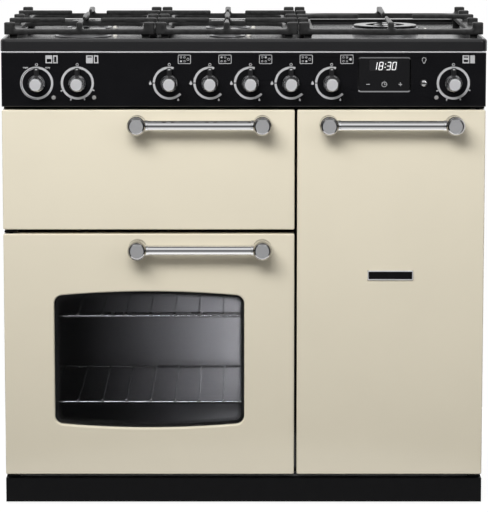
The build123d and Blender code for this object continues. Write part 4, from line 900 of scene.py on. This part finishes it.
SCREW_HEAD = [
    (0, 1.4 * MM, 0), (1.2 * MM, 1.35 * MM, 0), (2.8 * MM, 1.05 * MM, 0), (3.8 * MM, 0.5 * MM, 0),
    (4.1 * MM, 0, 0), (0, 0, 0),
]
FACING_BACK = Matrix(((-1, 0, 0, 0), (0, 0, 1, 0), (0, 1, 0, 0), (0, 0, 0, 1)))
BEAD = (
    (0, 0), (1.6 * MM, 1.1 * MM), (3 * MM, 1.4 * MM),
    (8 * MM, 1.4 * MM), (9.4 * MM, 1.1 * MM), (11 * MM, 0),
)


def pressed_bead(bm, place, width, height, centre, corner=26 * MM):
    """Raised bead along a rounded outline, on a plane whose normal is local Z."""
    rows = []
    for inset, lift in BEAD:
        outline = rounded_outline(width - 2 * inset, height - 2 * inset, corner - inset, 8, centre)
        rows.append([place @ Vector((x, y, lift)) for x, y in outline])
    bridge(bm, rows + rows[:1])


def rear_sheet(bm, low, high, sheet_y):
    """Thin sheet with holes for the gas inlet and the cable gland."""
    loops = [[(low.x, low.z), (high.x, low.z), (high.x, high.z), (low.x, high.z)]]
    loops += [arc_points(radius, 0, 360, 32, centre)[:-1] for centre, radius in REAR_HOLES]
    edges = []
    for loop in loops:
        corners = [bm.verts.new((x, low.y, z)) for x, z in loop]
        edges += [bm.edges.new((a, b)) for a, b in zip(corners, corners[1:] + corners[:1])]
    sheet = bmesh.ops.triangle_fill(bm, use_beauty=True, use_dissolve=False, edges=edges)
    faces = [item for item in sheet["geom"] if isinstance(item, bmesh.types.BMFace)]
    raised = bmesh.ops.extrude_face_region(bm, geom=faces, use_keep_orig=True)
    verts = [item for item in raised["geom"] if isinstance(item, bmesh.types.BMVert)]
    bmesh.ops.translate(bm, vec=(0, sheet_y - low.y, 0), verts=verts)


def louvre(bm, x, z, sheet_y, shades):
    """Hood of a louvre on the sheet, with a material for each face along it; the two dark faces under the
    hood are painted shade closing the slot's opening.
    """
    ends = [
        [bm.verts.new((end, sheet_y + y, z + rise)) for y, rise in LOUVRE_HOOD]
        for end in (x - LOUVRE_HALF, x + LOUVRE_HALF)
    ]
    for i, shade in enumerate(shades):
        j = (i + 1) % len(LOUVRE_HOOD)
        bm.faces.new((ends[0][i], ends[0][j], ends[1][j], ends[1][i])).material_index = shade
    bm.faces.new(ends[0])
    bm.faces.new(reversed(ends[1]))


def make_rear_panel():
    """Zinc-coated rear panel: a sheet with two pressed beads, louvres whose slots are closed by painted
    shade, and screws round its rim.
    """
    low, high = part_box("rear_panel")
    # dark is painted shade: the black that closes the louvre slots.
    zinc, dark, screw = range(3)
    sheet_y = low.y + 0.5 * MM
    bm = bmesh.new()
    rear_sheet(bm, low, high, sheet_y)
    place = Matrix.Translation((0, sheet_y, 0)) @ FACING_BACK
    for side in (-1, 1):
        pressed_bead(bm, place, *REAR_BEAD_SIZE, (side * REAR_BEAD_X, REAR_BEAD_Z))
    for i in range(LOUVRE_COUNT):
        for z in LOUVRE_Z:
            x = (i - (LOUVRE_COUNT - 1) / 2) * LOUVRE_PITCH
            louvre(bm, x, z, sheet_y, (zinc, zinc, dark, dark, zinc))
    inset = REAR_SCREW_INSET
    places = [(x, z) for x in (low.x + inset, high.x - inset) for z in REAR_SCREW_Z]
    places += [(x, z) for x in REAR_SCREW_X for z in (low.z + inset, high.z - inset)]
    head = [(radius, rise, screw) for radius, rise, _ in SCREW_HEAD]
    for x, z in places:
        lathe(bm, head, Matrix.Translation((x, sheet_y, z)) @ FACING_BACK, 20)
    materials = [ZINC, FRIT_AND_SLOT_SHADE, DARK_CHROME]
    piece = piece_from(bm, "rear_panel_pressed", "cooker", materials, 30)
    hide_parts("rear_panel")


def make_side_details():
    """Pressed bead and screws on each side panel."""
    for side, name in ((-1, "left_side"), (1, "right_side")):
        low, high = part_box(name + "_panel")
        face_x = high.x if side > 0 else low.x
        turned = Matrix.Rotation(side * pi / 2, 4, "Z") @ FACING_FRONT
        bm = bmesh.new()
        length, height = high.y - low.y, high.z - low.z
        place = Matrix.Translation((face_x, (low.y + high.y) / 2, (low.z + high.z) / 2)) @ turned
        pressed_bead(bm, place, length - SIDE_BEAD_MARGIN[0], height - SIDE_BEAD_MARGIN[1], (0, 0))
        piece_from(bm, name + "_bead", "cooker", [BLACK], 30)
        bm = bmesh.new()
        spots = [(high.y - SIDE_SCREW_INSET, z) for z in SIDE_SCREW_Z]
        spots += [(y, low.z + SIDE_SCREW_INSET) for y in SIDE_SCREW_Y]
        for y, z in spots:
            lathe(bm, SCREW_HEAD, Matrix.Translation((face_x, y, z)) @ turned, 20)
        piece_from(bm, name + "_screws", "cooker", [STEEL])


# Stage

CAMERA_DISTANCE = 5.0
CAMERA_HEIGHT = 1.262
CAMERA_SHIFT = -0.12
FRAME_HEIGHT = 0.943
FRAME_CENTRE = (0.0006, 0.4725)
FLOOR_RADIUS = 0.78
FLOOR_GLOW = 0.86


def make_camera():
    """Camera in front of the doors, a little above the hob, tilted down."""
    data = bpy.data.cameras.new("camera")
    data.lens = data.sensor_width * CAMERA_DISTANCE / FRAME_HEIGHT
    data.shift_y = CAMERA_SHIFT
    camera = bpy.data.objects.new("camera", data)
    drop = CAMERA_HEIGHT - FRAME_CENTRE[1]
    aim = atan2(drop, CAMERA_DISTANCE) - atan2(-CAMERA_SHIFT * FRAME_HEIGHT, CAMERA_DISTANCE)
    camera.location = (FRAME_CENTRE[0], DOOR_Y - CAMERA_DISTANCE, CAMERA_HEIGHT)
    camera.rotation_euler = (pi / 2 - aim, 0, 0)
    bpy.context.scene.collection.objects.link(camera)
    bpy.context.scene.camera = camera


def area_light(name, place, target, size, power, spread=pi):
    """Rectangular soft light that looks at a target."""
    data = bpy.data.lights.new(name, "AREA")
    data.shape = "RECTANGLE"
    data.size, data.size_y = size
    data.spread = spread
    data.energy = power
    light = bpy.data.objects.new(name, data)
    light.location = place
    light.rotation_euler = (Vector(target) - Vector(place)).to_track_quat("-Z", "Y").to_euler()
    light.visible_camera = False
    bpy.context.scene.collection.objects.link(light)
    return light


def combine(tree, operation, first, second):
    """Math node over two sockets."""
    node = tree.nodes.new("ShaderNodeMath")
    node.operation = operation
    tree.links.new(first, node.inputs[0])
    tree.links.new(second, node.inputs[1])
    return node.outputs[0]


def ray_kinds(tree):
    """Factors for what the camera sees by itself, and for what is seen in metal or through glass."""
    paths = tree.nodes.new("ShaderNodeLightPath")
    glossy, passed = paths.outputs["Is Glossy Ray"], paths.outputs["Is Transmission Ray"]
    return paths.outputs["Is Camera Ray"], combine(tree, "MAXIMUM", glossy, passed)


def floor_material():
    """Pale paper that shows as white, and keeps the shadow on it."""
    material, tree, principled = shader("floor_paper", (0.18, 0.18, 0.18), 0.8)
    tone = ramp(tree, noise(tree, 3, 2), [(0.3, 0.175), (0.7, 0.185)])
    tree.links.new(tone, principled.inputs["Base Color"])
    lift = tree.nodes.new("ShaderNodeMath")
    lift.operation = "MULTIPLY"
    lift.inputs[1].default_value = FLOOR_GLOW
    tree.links.new(combine(tree, "MAXIMUM", *ray_kinds(tree)), lift.inputs[0])
    principled.inputs["Emission Color"].default_value = (1, 1, 1, 1)
    tree.links.new(lift.outputs[0], principled.inputs["Emission Strength"])
    return material


def make_floor():
    """Round pale floor under the cooker."""
    bm = bmesh.new()
    bmesh.ops.create_circle(bm, cap_ends=True, segments=96, radius=FLOOR_RADIUS)
    mesh = bpy.data.meshes.new("floor")
    bm.to_mesh(mesh)
    bm.free()
    mesh.materials.append(floor_material())
    floor = bpy.data.objects.new("floor", mesh)
    bpy.context.scene.collection.objects.link(floor)


def studio_walls(tree, axes):
    """Colour of the studio on the camera's side: grey bands by height, darker at the sides."""
    height = tree.nodes.new("ShaderNodeMapRange")
    height.inputs["From Min"].default_value = -1
    tree.links.new(axes.outputs["Z"], height.inputs["Value"])
    walls = ramp(tree, height.outputs[0], [
        (0.0, 0.45), (0.3, 0.45), (0.38, 0.03), (0.44, 0.012), (0.51, 0.012), (0.53, 0.3), (0.64, 0.35),
        (0.74, 0.85), (0.9, 0.85), (0.96, 0.2), (1.0, 0.15),
    ])
    aside = tree.nodes.new("ShaderNodeMath")
    aside.operation = "ABSOLUTE"
    tree.links.new(axes.outputs["X"], aside.inputs[0])
    sides = ramp(tree, aside.outputs[0], [(0.4, 1.0), (0.75, 0.1)])
    dimmed = tree.nodes.new("ShaderNodeMix")
    dimmed.data_type = "RGBA"
    dimmed.blend_type = "MULTIPLY"
    dimmed.inputs["Factor"].default_value = 1
    tree.links.new(walls, dimmed.inputs["A"])
    tree.links.new(sides, dimmed.inputs["B"])
    return dimmed.outputs["Result"]


def make_world():
    """White backdrop behind the cooker, and a dim studio on the camera's side."""
    world = bpy.data.worlds.new("studio")
    world.use_nodes = True
    tree = world.node_tree
    room = tree.nodes["Background"]
    coords = tree.nodes.new("ShaderNodeTexCoord")
    axes = tree.nodes.new("ShaderNodeSeparateXYZ")
    tree.links.new(coords.outputs["Generated"], axes.inputs[0])
    behind = tree.nodes.new("ShaderNodeMapRange")
    behind.inputs["From Min"].default_value = 0.05
    behind.inputs["From Max"].default_value = 0.4
    tree.links.new(axes.outputs["Y"], behind.inputs["Value"])
    tone = tree.nodes.new("ShaderNodeMix")
    tone.data_type = "RGBA"
    tree.links.new(behind.outputs[0], tone.inputs["Factor"])
    tree.links.new(studio_walls(tree, axes), tone.inputs["A"])
    tone.inputs["B"].default_value = (0.85, 0.85, 0.85, 1)
    tree.links.new(tone.outputs["Result"], room.inputs["Color"])

    white = tree.nodes.new("ShaderNodeBackground")
    white.inputs["Color"].default_value = (1, 1, 1, 1)
    direct, relayed = ray_kinds(tree)
    relayed = combine(tree, "MULTIPLY", relayed, behind.outputs[0])
    mix = tree.nodes.new("ShaderNodeMixShader")
    tree.links.new(combine(tree, "MAXIMUM", direct, relayed), mix.inputs[0])
    tree.links.new(room.outputs[0], mix.inputs[1])
    tree.links.new(white.outputs[0], mix.inputs[2])
    tree.links.new(mix.outputs[0], tree.nodes["World Output"].inputs["Surface"])
    bpy.context.scene.world = world


def make_stage():
    """Floor, world and soft lights."""
    make_floor()
    make_world()
    key = area_light(
        "key", place=(-0.7, -2.2, 2.3), target=(0, -0.25, 0.98), size=(2.2, 0.9),
        power=22.5, spread=radians(97),
    )
    area_light("fill", place=(2.2, -2.4, 1.7), target=(0, -0.2, 0.7), size=(0.8, 1.6), power=9)
    top = area_light("top", place=(0, 0.1, 3.0), target=(0, 0, 0.8), size=(2.2, 1.6), power=26)
    area_light("back", place=(0.25, 1.6, 0.45), target=(-0.1, 0.33, 0.5), size=(0.3, 0.5), power=3.6)
    for light in (key, top):
        light.visible_glossy = False
    bpy.context.scene.view_settings.view_transform = "Standard"


def main():
    """Dresses the CAD nodes, and adds the modelled detail and the stage."""
    dress_nodes()
    for name in ("pan_support_left", "pan_support_centre", "pan_support_right"):
        round_casting(name)
    soften("plinth", 1.6 * MM, 3)
    for name in ("control_panel", "burner_heads", "burner_bases", "grill_pan"):
        soften(name, 0.5 * MM)
    print_panel()
    make_clock()
    make_knobs()
    make_light_button()
    make_handles()
    make_hob_highlight_strip()
    make_badge_border()
    make_window_frit()
    make_shelf_tips()
    make_oven_lamps()
    make_rear_panel()
    make_side_details()
    make_camera()
    make_stage()


main()
